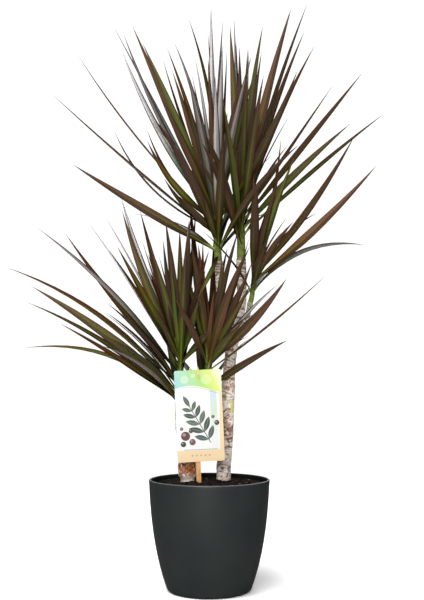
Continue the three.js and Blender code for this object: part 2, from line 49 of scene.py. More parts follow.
# ---- Sizes shared with the part's source ----
POT_HEIGHT = 180
RIM_RADIUS = 100
FOOT_RADIUS = 62
WALL = 2.4
FLOOR = 4
LIP_RADIUS = 1.9
GAP = 0.3
SOIL_EDGE = 171
SOIL_TOP = 176
CANE_BOTTOM = 96
CARD_WIDTH, CARD_HEIGHT, CARD_BOTTOM, CARD_SHIFT, CARD_CORNER = 77, 149, 211, 5.5, 1.5
CARD_THICKNESS = 0.8
HOLDER_X, HOLDER_Y, HOLDER_BOTTOM, HOLDER_FORK, HOLDER_TOP = -16.5, -30, 110, 290, 365
HOLDER_WIDTH, HOLDER_THICKNESS = 8, 2.4
PRONG_WIDTH, PRONG_SPREAD = 2.8, 6.4
HOOK_TOP, HOOK_BOTTOM, HOOK_THICKNESS = 362, 346, 1
TAG_STRIPS = 6
LEAN = math.radians(2.7)
LABEL_WIDTH, LABEL_HEIGHT, LABEL_SEAT = 5.4, 22, 11.7
LABEL_BEARING = math.radians(38)
LEAF_WIDTH = 15.5
WIDEST = 0.4
ROOT_SHARE = 0.3
SPINE_PARTS = 8
ROOT_LOWEST, ROOT_HIGHEST, ROOT_SPREAD = 14, 0.95, 0.5
CROWDING, SIDEWAYS = 0.8, 0.35
STEEPEST, FLATTEST = 82, 24
LEAF_MARGIN = 2.4
SIBLING_MARGIN = 1.2
VIEW_X, VIEW_DISTANCE, VIEW_HEIGHT, VIEW_PITCH, VIEW_FOCAL = 4.5, 1520, 350, math.radians(4.81), 904
VIEW_CENTRE = (212, 300)
SOIL_ROW = 483


def from_view(px, py, depth):
    """The point that shows at a pixel of the viewpoint's frame, so far behind the pot's middle."""
    up = VIEW_CENTRE[1] - py
    cos, sin = math.cos(VIEW_PITCH), math.sin(VIEW_PITCH)
    reach = (VIEW_DISTANCE + depth) / (VIEW_FOCAL * cos - up * sin)
    height = VIEW_HEIGHT + (VIEW_FOCAL * sin + up * cos) * reach
    return np.array([VIEW_X + (px - VIEW_CENTRE[0]) * reach, depth, height])


def from_views(*places):
    return [from_view(*place) for place in places]


def in_soil(px, depth, height):
    """A point in the soil, at a height, below where a cane shows at the pixel's column."""
    return np.array([*from_view(px, SOIL_ROW, depth)[:2], height])


def seeded_draw(seed):
    """A function that draws between two numbers, with the same row of draws for the same seed."""
    state, span = seed, 2**32

    def draw(low, high):
        nonlocal state
        state = (state * 1664525 + 1013904223) % span
        return low + (high - low) * state / span

    return draw


def smooth(t):
    k = np.clip(t, 0, 1)
    return k * k * (3 - 2 * k)


def bell(x, power=2):
    return np.exp(-np.abs(x) ** power)


def unit(v):
    return v / np.linalg.norm(v, axis=-1, keepdims=True)


def value_at(stops, place):
    """A value that runs smoothly through the stops [place, value]."""
    places = [stop[0] for stop in stops]
    following = min(max(int(np.searchsorted(places, place)), 1), len(stops) - 1)
    (start, low), (end, high) = stops[following - 1], stops[following]
    return low + (high - low) * float(smooth((place - start) / (end - start)))


def lumps(points, size, seed):
    """Smooth random values from -1 to 1 over space, with lumps of about the size given."""
    place = points / size
    cell = np.floor(place).astype(np.int64)
    share = place - cell
    share = share * share * (3 - 2 * share)
    total = np.zeros(len(points))
    for corner in range(8):
        step = np.array([corner & 1, corner >> 1 & 1, corner >> 2 & 1])
        x, y, z = (cell + step).T
        mixed = (x * 73856093) ^ (y * 19349663) ^ (z * 83492791) ^ (seed * 2654435761)
        mixed = (mixed ^ (mixed >> 13)) * 1274126177 & 0xFFFFFFFF
        value = ((mixed ^ (mixed >> 16)) & 0xFFFF) / 32767.5 - 1
        weight = np.prod(np.where(step == 1, share, 1 - share), axis=1)
        total += value * weight
    return total


def bearings(sides):
    return 2 * math.pi * np.arange(sides) / sides


def turned(points, angle, a, b):
    """Points turned in the plane of two axes, from the first towards the second."""
    cos, sin = math.cos(angle), math.sin(angle)
    moved = np.array(points, float)
    moved[..., a] = points[..., a] * cos - points[..., b] * sin
    moved[..., b] = points[..., a] * sin + points[..., b] * cos
    return moved


# ---- Meshes ----
def add_object(name, data):
    made = bpy.data.objects.new(name, data)
    bpy.context.scene.collection.objects.link(made)
    return made


class Shape:
    """Points, faces and values per point, gathered from several parts into one mesh."""

    def __init__(self):
        self.points, self.faces, self.values, self.count = [], [], {}, 0

    def add(self, points, faces, **values):
        points = np.asarray(points, float).reshape(-1, 3)
        self.points.append(points)
        self.faces.extend(tuple(int(i) + self.count for i in face) for face in faces)
        for name, value in values.items():
            filled = np.broadcast_to(np.ravel(value), (len(points),))
            self.values.setdefault(name, []).append((self.count, filled))
        self.count += len(points)

    def add_tube(self, points, **values):
        """Rows of points round a tube that is closed at both ends."""
        self.add(points, grid_faces(*points.shape[:2], ends=True), **values)

    def make(self, name, material, replaced, smooth_shading=True):
        mesh = bpy.data.meshes.new(name)
        mesh.from_pydata((np.concatenate(self.points) * MM).tolist(), [], self.faces)
        for value_name, parts in self.values.items():
            row = np.zeros(self.count, np.float32)
            for start, filled in parts:
                row[start : start + len(filled)] = filled
            mesh.attributes.new(value_name, "FLOAT", "POINT").data.foreach_set("value", row)
        mesh.polygons.foreach_set("use_smooth", [smooth_shading] * len(mesh.polygons))
        mesh.materials.append(material)
        mesh.update()
        piece = add_object(name, mesh)
        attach(piece, "root")
        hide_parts(replaced)


def grid_faces(rows, columns, ends=False):
    """Quads round a tube of points, counted row by row; ends closes it at both ends."""
    faces = []
    for i in range(rows - 1):
        for j in range(columns):
            k = (j + 1) % columns
            faces.append((i * columns + j, i * columns + k, (i + 1) * columns + k, (i + 1) * columns + j))
    if ends:
        faces.append(tuple(range(columns))[::-1])
        faces.append(tuple((rows - 1) * columns + j for j in range(columns)))
    return faces


def lathe(profile, sides):
    """Points of a profile of (radius, height) turned about the Z axis, row by row."""
    angles = bearings(sides)
    radius, height = np.asarray(profile, float).T
    x = radius[:, None] * np.cos(angles)
    y = radius[:, None] * np.sin(angles)
    z = np.broadcast_to(height[:, None], x.shape)
    return np.stack([x, y, z], axis=-1)


def bezier(points, count):
    """Points along a Bezier curve of degree two or three."""
    t = np.linspace(0, 1, count)[:, None]
    points = np.repeat(np.asarray(points, float)[:, None], count, axis=1)
    while len(points) > 1:
        points = points[:-1] * (1 - t) + points[1:] * t
    return points[0]


def rounded_sheet(width, height, corner, rows, columns):
    """Across and up at the points of a grid over an upright rectangle with rounded corners."""
    up = np.linspace(0, height, rows)
    from_end = np.minimum(up, height - up)
    curve = np.sqrt(np.clip(corner**2 - (corner - from_end) ** 2, 0, None))
    pulled = np.where(from_end < corner, corner - curve, 0)
    across = np.linspace(-1, 1, columns) * (width / 2 - pulled)[:, None]
    return across, np.broadcast_to(up[:, None], across.shape)


def both_skins(outer, inner):
    """Rows of points round a closed sheet: over its outer skin and back over its inner one."""
    return np.concatenate([outer, inner[:, ::-1]], axis=1)


class Path:
    """A smooth curve through points, even in length, with a frame that doesn't twist."""

    def __init__(self, points, rows):
        points = [np.asarray(p, float) for p in points]
        padded = [2 * points[0] - points[1], *points, 2 * points[-1] - points[-2]]
        dense = []
        for i in range(len(points) - 1):
            a, b, c, d = padded[i : i + 4]
            first, second, third = (math.sqrt(np.linalg.norm(q - p)) for p, q in ((a, b), (b, c), (c, d)))
            leave = ((b - a) / first - (c - a) / (first + second) + (c - b) / second) * second
            reach = ((c - b) / second - (d - b) / (second + third) + (d - c) / third) * second
            t = np.linspace(0, 1, 40, endpoint=i == len(points) - 2)[:, None]
            square, cube = 3 * (c - b) - 2 * leave - reach, 2 * (b - c) + leave + reach
            dense.append(b + leave * t + square * t**2 + cube * t**3)
        dense = np.concatenate(dense)
        length = np.concatenate([[0], np.cumsum(np.linalg.norm(np.diff(dense, axis=0), axis=1))])
        self.length = length[-1]
        self.share = np.linspace(0, 1, rows)
        self.up = self.share * self.length
        self.centre = np.stack([np.interp(self.up, length, axis) for axis in dense.T], 1)
        self.along = unit(np.gradient(self.centre, axis=0))
        self.first = np.empty_like(self.centre)
        turn = np.array([1.0, 0.0, 0.0])
        for i, along in enumerate(self.along):
            turn = unit(turn - along * (turn @ along))
            self.first[i] = turn
        self.second = np.cross(self.along, self.first)

    def around(self, radius, sides):
        """Rows of points at the radius, which is an array of rows by sides or of rows by one."""
        angles = bearings(sides)
        out = self.first[:, None] * np.cos(angles)[:, None] + self.second[:, None] * np.sin(angles)[:, None]
        return self.centre[:, None] + out * radius[..., None]


# ---- Materials ----
def srgb(red, green, blue):
    """Linear colour from the 0 to 255 numbers of a picture."""
    shares = (red / 255, green / 255, blue / 255)
    return tuple(c / 12.92 if c <= 0.04 else ((c + 0.055) / 1.055) ** 2.4 for c in shares)


class Wire:
    """What a node gives, which can be reckoned with like a number."""

    def __init__(self, shade, socket):
        self.shade, self.socket = shade, socket

    def __add__(self, other):
        return self.shade.math("ADD", self, other)

    def __sub__(self, other):
        return self.shade.math("SUBTRACT", self, other)

    def __rsub__(self, other):
        return self.shade.math("SUBTRACT", other, self)

    def __mul__(self, other):
        return self.shade.math("MULTIPLY", self, other)

    def __abs__(self):
        return self.shade.math("ABSOLUTE", self)

    def between(self, low, high, to_low=0.0, to_high=1.0, kind="SMOOTHSTEP"):
        """Goes from to_low to to_high while this goes from low to high."""
        inputs = {"Value": self, "From Min": low, "From Max": high, "To Min": to_low, "To Max": to_high}
        return self.shade.node("ShaderNodeMapRange", inputs, interpolation_type=kind)


class Shade:
    """Builds the nodes of a material, or of the world.

    Colours are the 0 to 255 numbers of a picture, dimmed by the share of light that the paper gives back.
    """

    def __init__(self, name, world=False, paper=1.0, **settings):
        self.owner = (bpy.data.worlds if world else bpy.data.materials).new(name)
        self.owner.use_nodes = True
        self.tree = self.owner.node_tree
        self.shader = self.tree.nodes["Background" if world else "Principled BSDF"]
        self.paper, self.colour = paper, None
        for place, value in settings.items():
            self.set(place.replace("_", " "), value)

    def plug(self, socket, value):
        if isinstance(value, Wire):
            self.tree.links.new(value.socket, socket)
        else:
            socket.default_value = value

    def set(self, place, value):
        self.plug(self.shader.inputs[place], value)

    def node(self, kind, inputs, output=0, **settings):
        made = self.tree.nodes.new(kind)
        for name, value in settings.items():
            setattr(made, name, value)
        for place, value in inputs.items():
            self.plug(made.inputs[place], value)
        return Wire(self, made.outputs[output])

    def value(self, name):
        return self.node("ShaderNodeAttribute", {}, "Fac", attribute_name=name)

    def ray(self, name):
        return self.node("ShaderNodeLightPath", {}, name)

    def place(self, stretch=(1, 1, 1)):
        """Coordinates in metres, stretched."""
        where = self.node("ShaderNodeTexCoord", {}, "Object")
        return self.node("ShaderNodeMapping", {"Vector": where, "Scale": stretch})

    def vector(self, x, y, z=0.0):
        return self.node("ShaderNodeCombineXYZ", {"X": x, "Y": y, "Z": z})

    def math(self, operation, a, b=0.0):
        return self.node("ShaderNodeMath", {0: a, 1: b}, operation=operation)

    def noise(self, scale, detail=2.0, where=(1, 1, 1), roughness=0.5, distortion=0.0):
        """Noise over the coordinates stretched by where, or over where itself."""
        where = where if isinstance(where, Wire) else self.place(where)
        inputs = {"Vector": where, "Scale": scale, "Detail": detail, "Roughness": roughness}
        return self.node("ShaderNodeTexNoise", {**inputs, "Distortion": distortion}, "Fac")

    def tone(self, colour):
        return colour if isinstance(colour, Wire) else (*(self.paper * part for part in srgb(*colour)), 1)

    def ramp(self, value, *stops):
        """Colours in between the stops, each of them a place and the colour's three numbers."""
        made = self.tree.nodes.new("ShaderNodeValToRGB")
        self.plug(made.inputs["Fac"], value)
        elements = made.color_ramp.elements
        while len(elements) < len(stops):
            elements.new(0.5)
        for element, (place, *colour) in zip(elements, stops):
            element.position = place
            element.color = self.tone(colour)
        return Wire(self, made.outputs["Color"])

    def mix(self, share, a, b):
        inputs = {"Factor": share, 6: self.tone(a), 7: self.tone(b)}
        return self.node("ShaderNodeMix", inputs, 2, data_type="RGBA")

    def paint(self, share, colour):
        """Lays a share of a colour over what is painted so far."""
        self.colour = self.mix(share, self.colour, colour)

    def finish(self, roughness, *bumps):
        """Each bump is a height, a distance in metres and a strength, the coarsest first."""
        self.set("Base Color", self.colour)
        self.set("Roughness", roughness)
        above = {}
        for height, distance, strength in bumps:
            inputs = {"Height": height, "Distance": distance, "Strength": strength, **above}
            above = {"Normal": self.node("ShaderNodeBump", inputs)}
        for place, normal in above.items():
            self.set(place, normal)
        return self.owner


# ---- Pot ----
HEEL = (71.2, 8)
LIP = (RIM_RADIUS, POT_HEIGHT - LIP_RADIUS)
SIDE = [HEEL, (90.3, 60), (97.3, 118), LIP]
MOUND_RADIUS = LIP[0] - WALL - 1


def pot_material():
    shade = Shade("pot_plastic_satin", Specular_IOR_Level=0.3)
    cloud, grain = shade.noise(14, 3), shade.noise(2600, 1)
    shade.colour = shade.ramp(cloud, (0.3, 27, 31, 31), (0.7, 31, 36, 35))
    shade.paint(shade.noise(900).between(0.66, 0.74) * 0.1, (84, 88, 86))
    # painted highlight: a pale line along the rolled lip of the rim
    shade.paint(shade.value("rim") * 0.8, (88, 94, 92))
    # painted shade: the inside of the pot is painted near black
    shade.paint(shade.value("inner"), (14, 16, 15))
    return shade.finish(cloud.between(0.3, 0.7, 0.4, 0.45), (grain, 0.00012, 0.35), (cloud, 0.0006, 0.2))


def make_pot():
    corner = bezier([(FOOT_RADIUS, 0), (69, 0), HEEL], 9)
    outside = bezier(SIDE, 46)[1:]
    turn = np.linspace(0, math.pi, 15)[1:]
    middle = (RIM_RADIUS - LIP_RADIUS, LIP[1])
    roll = np.stack([middle[0] + LIP_RADIUS * np.cos(turn), middle[1] + LIP_RADIUS * np.sin(turn)], 1)
    inside = bezier(SIDE, 24)[::-1][1:] - (WALL, 0)
    inside[0] = (LIP[0] - WALL, LIP[1] - 3)
    base = [(0.01, 0), (40, 0)]
    well = [(FOOT_RADIUS, FLOOR), (0.01, FLOOR)]
    profile = np.concatenate([base, corner, outside, roll, inside, well])
    start = len(base) + len(corner) + len(outside)
    step = np.arange(len(profile))
    # painted highlight along the rolled lip, strongest a few steps into the roll
    rim = bell((step - start - 5) / 3)
    # painted shade inside the pot, from the inner side of the lip down over the inner wall and floor
    inner = smooth((step - start - len(roll) + 3) / 4)
    sides = 160
    shape = Shape()
    shape.add_tube(lathe(profile, sides), rim=np.repeat(rim, sides), inner=np.repeat(inner, sides))
    shape.make("pot_shell", pot_material(), "pot")


# ---- Soil ----
SOIL_SINK = 0.6
CRUMBS = 1700


def soil_material():
    shade = Shade("potting_soil_crumbs", Specular_IOR_Level=0.08)
    fine, chance = shade.noise(900, 4, roughness=0.7), shade.value("chance")
    shade.colour = shade.ramp(fine, (0.25, 6, 5, 4), (0.5, 16, 12, 9), (0.75, 36, 25, 17))
    shade.paint(shade.noise(120, 3).between(0.35, 0.65, 0, 0.6), (15, 11, 8))
    crumb = shade.ramp(chance, (0, 11, 8, 6), (0.6, 27, 19, 13), (0.88, 60, 42, 28), (1, 116, 88, 62))
    shade.paint(chance.between(0.02, 0.05, 0, 0.75), crumb)
    return shade.finish(0.95, (fine, 0.0012, 0.8))


def crumb_shape():
    """A rough lump of twelve points and twenty faces, about one unit across from its middle."""
    ratio = (1 + math.sqrt(5)) / 2
    points = []
    for a in (-1, 1):
        for b in (-ratio, ratio):
            points += [(0, a, b), (a, b, 0), (b, 0, a)]
    points = unit(np.array(points, float))
    faces = []
    for i, j, k in combinations(range(12), 3):
        if max(np.linalg.norm(points[p] - points[q]) for p, q in combinations((i, j, k), 2)) < 1.1:
            normal = np.cross(points[j] - points[i], points[k] - points[i])
            faces.append((i, j, k) if normal @ points[i] > 0 else (i, k, j))
    return points, faces


def soil_height(x, y):
    """The source's mound, which a quadratic curve gives, heaped up a little at the tag's foot."""
    t = np.linspace(0, 1, 60)
    handle = 60
    along = (1 - t) ** 2 * MOUND_RADIUS + 2 * (1 - t) * t * handle
    rise = (1 - t) ** 2 * SOIL_EDGE + (2 * (1 - t) * t + t**2) * SOIL_TOP
    heap = 3 * bell((x - HOLDER_X + 10) / 26) * bell((y - HOLDER_Y - 2) / 15)
    return np.interp(np.hypot(x, y), along[::-1], rise[::-1]) + heap


def make_soil():
    draw = seeded_draw(5)
    shape = Shape()
    wall = bezier(SIDE, 12)
    wall = wall[wall[:, 1] < SOIL_EDGE - 4] - (WALL + GAP, 0)
    below = [(0.01, FLOOR + GAP), (FOOT_RADIUS - GAP, FLOOR + GAP), *wall]
    rings, sides = 64, 150
    profile = np.concatenate([below, np.stack([np.linspace(MOUND_RADIUS, 0.01, rings), np.zeros(rings)], 1)])
    flat = lathe(profile, sides).reshape(-1, 3)
    on_top = np.repeat(np.arange(len(profile)) >= len(below), sides)
    level = soil_height(flat[:, 0], flat[:, 1]) - SOIL_SINK
    lift = 1.3 * lumps(flat, 7, 1) + 0.9 * lumps(flat, 3.2, 2) + 1.2 * lumps(flat, 21, 3)
    lift = np.clip(lift, -2.6, 1.4) * smooth((MOUND_RADIUS - np.hypot(flat[:, 0], flat[:, 1])) / 1.5)
    flat[:, 2] = np.where(on_top, level + lift, flat[:, 2])
    shape.add_tube(flat.reshape(-1, sides, 3), chance=0)
    lump, lump_faces = crumb_shape()
    for _ in range(CRUMBS):
        radius = 96 * math.sqrt(draw(0, 1))
        bearing = draw(0, 2 * math.pi)
        size = draw(0.7, 1.6) + draw(0, 1) ** 6 * 2.4
        long = draw(1, 1.5) + draw(0, 1) ** 8 * 3
        turn = draw(0, math.pi)
        points = lump * (size * long, size, size * 0.7)
        points = points * (1 + 0.28 * lumps(points + radius * 7, size, 4))[:, None]
        x, y = radius * math.cos(bearing), radius * math.sin(bearing)
        middle = np.array([x, y, float(soil_height(x, y)) - SOIL_SINK + draw(-0.3, 0.9)])
        points = turned(points, turn, 0, 1) + middle
        if np.hypot(points[:, 0], points[:, 1]).max() < MOUND_RADIUS - 0.1:
            shape.add(points, lump_faces, chance=0.08 + 0.92 * draw(0, 1) ** 2.6)
    shape.make("soil_bed", soil_material(), "soil")


# ---- Canes ----
TALL_TRUNK = [in_soil(223.5, 22, CANE_BOTTOM), in_soil(223.5, 22, 160), *from_views(
    (223.6, 470, 22), (226, 440, 22), (227.5, 400, 22), (229, 375, 22), (231, 352, 21),
    (234.5, 333, 20), (239.5, 315, 18), (241.6, 296, 16), (241.2, 259, 15),
)]
TALL_LEFT = from_views((231.5, 346, 20), (225, 320, 10), (221, 296, 3), (218.5, 261.5, 0))
TALL_RIGHT = from_views((237, 334, 17), (243, 326, 10), (247, 317, 6), (250.3, 303, 4))
TALL_RADII = [(0, 12.2), (0.2, 12), (0.5, 11.6), (0.62, 10), (0.69, 10.6), (0.75, 8.6), (0.9, 8.2), (1, 8.4)]
LEFT_RADII = [(0, 7), (1, 7.2)]
RIGHT_RADII = [(0, 6), (0.8, 4.8), (1, 5.2)]
SHORT_TRUNK = [in_soil(187.5, -3, CANE_BOTTOM), in_soil(187.5, -3, 165), *from_views(
    (187.5, 478, -3), (187.3, 465, -3), (186.5, 445, -3), (186, 426, -3),
)]
SHORT_LEFT = from_views((185.5, 444, -3), (181, 432, -5), (179.5, 412, -7))
SHORT_RIGHT = from_views((188.5, 444, -3), (198, 431, -8), (203, 408, -12))
SHORT_RADII = [(0, 10.5), (0.48, 11.5), (0.54, 15), (0.63, 15.4), (0.7, 14), (1, 14.2)]
SIDE_RADII = [(0, 8.5), (1, 7.6)]
FRAYS = 70


def bark_material():
    """Old wood is pale and blotched; scar marks where leaves sat, young is green and warm is orange."""
    shade = Shade("bark_with_leaf_scars", Specular_IOR_Level=0.15)
    blotch = shade.noise(46, 2, (1, 1, 1.4), roughness=0.55, distortion=1.6)
    patch = shade.noise(120, 3, (1, 1, 2.2), roughness=0.6, distortion=0.8)
    fine = shade.noise(420, 4, (1, 1, 2), roughness=0.65)
    fleck = shade.noise(900)
    cells = {"Vector": shade.place((1, 1, 0.5)), "Scale": 150}
    edge = shade.node("ShaderNodeTexVoronoi", cells, "Distance", feature="DISTANCE_TO_EDGE")
    crack = edge.between(0, 0.06, 1, 0)
    young, warm = shade.value("young"), shade.value("warm")
    old = 1 - shade.math("MAXIMUM", young, warm)
    mixed = blotch * 0.75 + patch * 0.35

    def contour(level, reach):
        """Lines that wander over the old wood, where the blotches pass through one level."""
        return abs(blotch - level).between(0, reach, 1, 0) * old

    shade.colour = shade.ramp(
        mixed, (0.44, 104, 80, 64), (0.51, 168, 146, 128), (0.58, 202, 186, 172), (0.67, 232, 224, 216)
    )
    shade.paint(fine.between(0.42, 0.7, 0, 0.5), (142, 114, 96))
    # painted shade: dark lines near the pale swirls, as shadow that gives them depth
    shade.paint(contour(0.42, 0.02) * 0.75, (72, 54, 44))
    shade.paint(contour(0.52, 0.03) * 0.75, (242, 236, 228))
    shade.paint(blotch.between(0.3, 0.38, 0.8, 0) * old, (86, 66, 54))
    shade.paint(young, shade.ramp(fine, (0.3, 84, 112, 28), (0.55, 132, 152, 62), (0.75, 186, 192, 118)))
    rust = shade.noise(260, 3, roughness=0.65, distortion=0.8)
    shade.paint(warm, shade.ramp(
        rust, (0.3, 42, 22, 12), (0.44, 104, 54, 22), (0.56, 164, 92, 42), (0.7, 208, 154, 102)
    ))
    shade.paint(shade.value("scar") * 0.95, shade.mix(young, (66, 46, 36), (84, 58, 38)))
    shade.paint(crack * patch.between(0.36, 0.55, 0.7, 0), (70, 50, 40))
    shade.paint(shade.value("lip") * 0.75, (236, 224, 210))
    shade.paint(fleck.between(0.63, 0.7, 0, 0.45) * warm.between(0, 1, 1, 0.3), (236, 230, 222))
    shade.paint(fleck.between(0.3, 0.36, 0.5, 0), (66, 50, 40))
    shade.paint(shade.value("shade"), (30, 22, 17))
    roughness = fine.between(0.3, 0.7, 0.7, 0.92)
    return shade.finish(roughness, (mixed, 0.0022, 0.6), (fine, 0.0009, 0.7), (crack, 0.0006, -0.6))


def bark_tube(
    shape, points, radii, spacing, rows, sides, seed, arc=(1.0, 1.9), ringed=2.0, young_from=2.0, warm=(),
    torn=None,
):
    """A stretch of cane, scarred with crescents as wide as arc allows, and with rings from ringed on.

    The places where rings and green wood begin, and those of warm and torn, are shares of the length.
    """
    draw = seeded_draw(seed)
    path = Path(points, rows)
    base = np.array([value_at(radii, share) for share in path.share])[:, None]
    scar, lip = np.zeros((rows, sides)), np.zeros((rows, sides))
    place, index = draw(1, 4), 0
    while place < path.length:
        gap = value_at(spacing, place / path.length) * draw(0.7, 1.35)
        turn = bearings(sides) - index * GOLDEN_ANGLE - draw(-0.5, 0.5)
        turn = (turn + math.pi) % (2 * math.pi) - math.pi
        slant = 0.28 * np.cos(turn) + draw(-0.2, 0.2) * np.sin(turn)
        reach = path.up[:, None] - (place + gap * slant + 0.3 * np.cos(3 * turn + index))
        ring = float(smooth((place / path.length - ringed) / 0.04))
        wide, strength = draw(*arc), draw(0.5, 1)
        wide, strength = wide + (3.6 - wide) * ring, strength + (1 - strength) * ring
        fade = strength * smooth((wide - np.abs(turn)) / 0.5)
        width = min(0.1 * gap, 0.8) + 0.25 + 0.6 * ring
        scar = np.maximum(scar, bell(reach / width) * fade)
        lip = np.maximum(lip, (1 - 0.7 * ring) * bell((reach - 2.2 * width) / (1.6 * width)) * fade)
        place += gap
        index += 1
    share = path.share[:, None]
    heat = np.zeros((rows, sides))
    for middle, reach, strength in warm:
        heat = np.maximum(heat, strength * bell((share - middle) / reach, 4))
    flat = path.around(base, sides).reshape(-1, 3)
    bumps = (0.6 * lumps(flat, 11, seed) + 0.3 * lumps(flat, 4, seed + 1)).reshape(rows, sides)
    relief = bumps - 0.5 * scar + 0.4 * lip
    if torn is not None:
        middle, reach = torn
        ragged = bell((share - middle) / reach, 4)
        shreds = 1.5 * lumps(flat * (1, 1, 0.4), 3.2, seed + 3) + 0.8 * lumps(flat, 1.7, seed + 4)
        relief = relief + ragged * (shreds.reshape(rows, sides) - 0.5)
        scar, lip = scar * (1 - 0.8 * ragged), lip * (1 - ragged)
    points = path.around(base + relief, sides)
    shape.add_tube(
        points, scar=scar, lip=lip, warm=heat,
        young=np.repeat(smooth((path.share - young_from) / 0.12), sides),
        shade=0.75 * smooth((SOIL_TOP + 4 - points[..., 2]) / 7),
    )
    return path


def make_tall_cane(bark):
    shape = Shape()
    bark_tube(
        shape, TALL_TRUNK, TALL_RADII,
        [(0, 15), (0.45, 14), (0.62, 10), (0.76, 8), (0.86, 6.5), (0.9, 5), (1, 4.2)],
        rows=460, sides=48, seed=21, ringed=0.9,
        warm=[(0.715, 0.022, 0.85), (0.36, 0.02, 0.2), (0.52, 0.02, 0.2), (1, 0.015, 0.4)],
    )
    bark_tube(
        shape, TALL_LEFT, LEFT_RADII, [(0, 6.5), (0.6, 6), (0.85, 4.5), (1, 3.8)],
        rows=230, sides=36, seed=23, arc=(1.2, 2.2), ringed=0.88, warm=[(0.96, 0.05, 0.7)],
    )
    bark_tube(
        shape, TALL_RIGHT, RIGHT_RADII, [(0, 4.6), (1, 3.6)],
        rows=120, sides=32, seed=25, arc=(2, 3.4), ringed=0.4, young_from=0.84,
    )
    shape.make("tall_cane_wood", bark, "tall_cane")


def make_short_cane(bark):
    shape = Shape()
    path = bark_tube(
        shape, SHORT_TRUNK, SHORT_RADII, [(0, 9), (0.5, 8), (1, 7)], rows=300, sides=72, seed=31,
        warm=[(0.6, 0.06, 1.0), (0.7, 0.06, 0.5), (0.5, 0.03, 0.3)], torn=(0.59, 0.055),
    )
    for points, seed in ((SHORT_LEFT, 33), (SHORT_RIGHT, 35)):
        bark_tube(
            shape, points, SIDE_RADII, [(0, 4), (0.5, 3), (1, 2.4)],
            rows=60, sides=40, seed=seed, arc=(1.6, 3), young_from=0.72,
        )
    draw = seeded_draw(37)
    for _ in range(FRAYS):
        add_fray(shape, path, draw)
    shape.make("short_cane_wood", bark, "short_cane")


def add_fray(shape, path, draw):
    """One torn strip of bark that hangs from the short cane's collar."""
    row = int(draw(0.54, 0.66) * len(path.share))
    angle = draw(0, 2 * math.pi)
    out = path.first[row] * math.cos(angle) + path.second[row] * math.sin(angle)
    side = np.cross(path.along[row], out)
    top = path.centre[row] + out * value_at(SHORT_RADII, path.share[row]) * 0.95
    length, width = draw(3, 7), draw(0.7, 2)
    rows = []
    for t in np.linspace(0, 1, 5):
        middle = top - path.along[row] * length * t + out * (0.3 + 1.7 * t * draw(0.6, 1))
        middle = middle + side * t * draw(-1, 1)
        half = width * (1 - t) ** 0.7 * 0.5 + 0.12
        rows.append([middle - side * half, middle - out * 0.25, middle + side * half, middle + out * 0.35])
    scar, lip, warm = draw(0, 0.5), draw(0, 1) ** 3, draw(0.6, 1)
    shape.add_tube(np.array(rows), scar=scar, lip=lip, young=0, warm=warm, shade=0)


# ---- Blank strip on the tall cane ----
STRIP_THICKNESS, STRIP_CORNER = 0.3, 1.4


def strip_material():
    shade = Shade("blank_strip_film", Specular_IOR_Level=0.5)
    cloud, wear = shade.noise(160, 3), shade.noise(700)
    shade.colour = shade.ramp(cloud, (0.3, 176, 174, 84), (0.7, 196, 194, 112))
    shade.paint(wear.between(0.62, 0.7, 0, 0.3), (214, 210, 160))
    return shade.finish(cloud.between(0.3, 0.7, 0.3, 0.45), (wear, 0.0001, 0.3))


def make_strip():
    """A thin film bent round the cane, with rounded corners, where the source has a flat strip."""
    across, up = rounded_sheet(LABEL_WIDTH, LABEL_HEIGHT, STRIP_CORNER, rows=34, columns=15)

    def bent(radius):
        angle = across / radius
        return np.stack([radius * np.sin(angle), -radius * np.cos(angle), up - LABEL_HEIGHT / 2], -1)

    seat = LABEL_SEAT + GAP
    skins = turned(both_skins(bent(seat + STRIP_THICKNESS), bent(seat)), LABEL_BEARING, 0, 1)
    top, bottom = TALL_TRUNK[4], TALL_TRUNK[3]
    tilt = math.atan2(top[0] - bottom[0], top[2] - bottom[2])
    shape = Shape()
    shape.add_tube(turned(skins, tilt, 2, 0) + from_view(227.4, 406.5, 22))
    shape.make("blank_strip", strip_material(), "cane_label")


# ---- Plant tag ----
def leaning(points):
    """The tag's upright points, with X across and Z up, leaned over at the soil and set in place."""
    return turned(points - SOIL_TOP * UP, -LEAN, 2, 0) + (HOLDER_X, HOLDER_Y, SOIL_TOP)


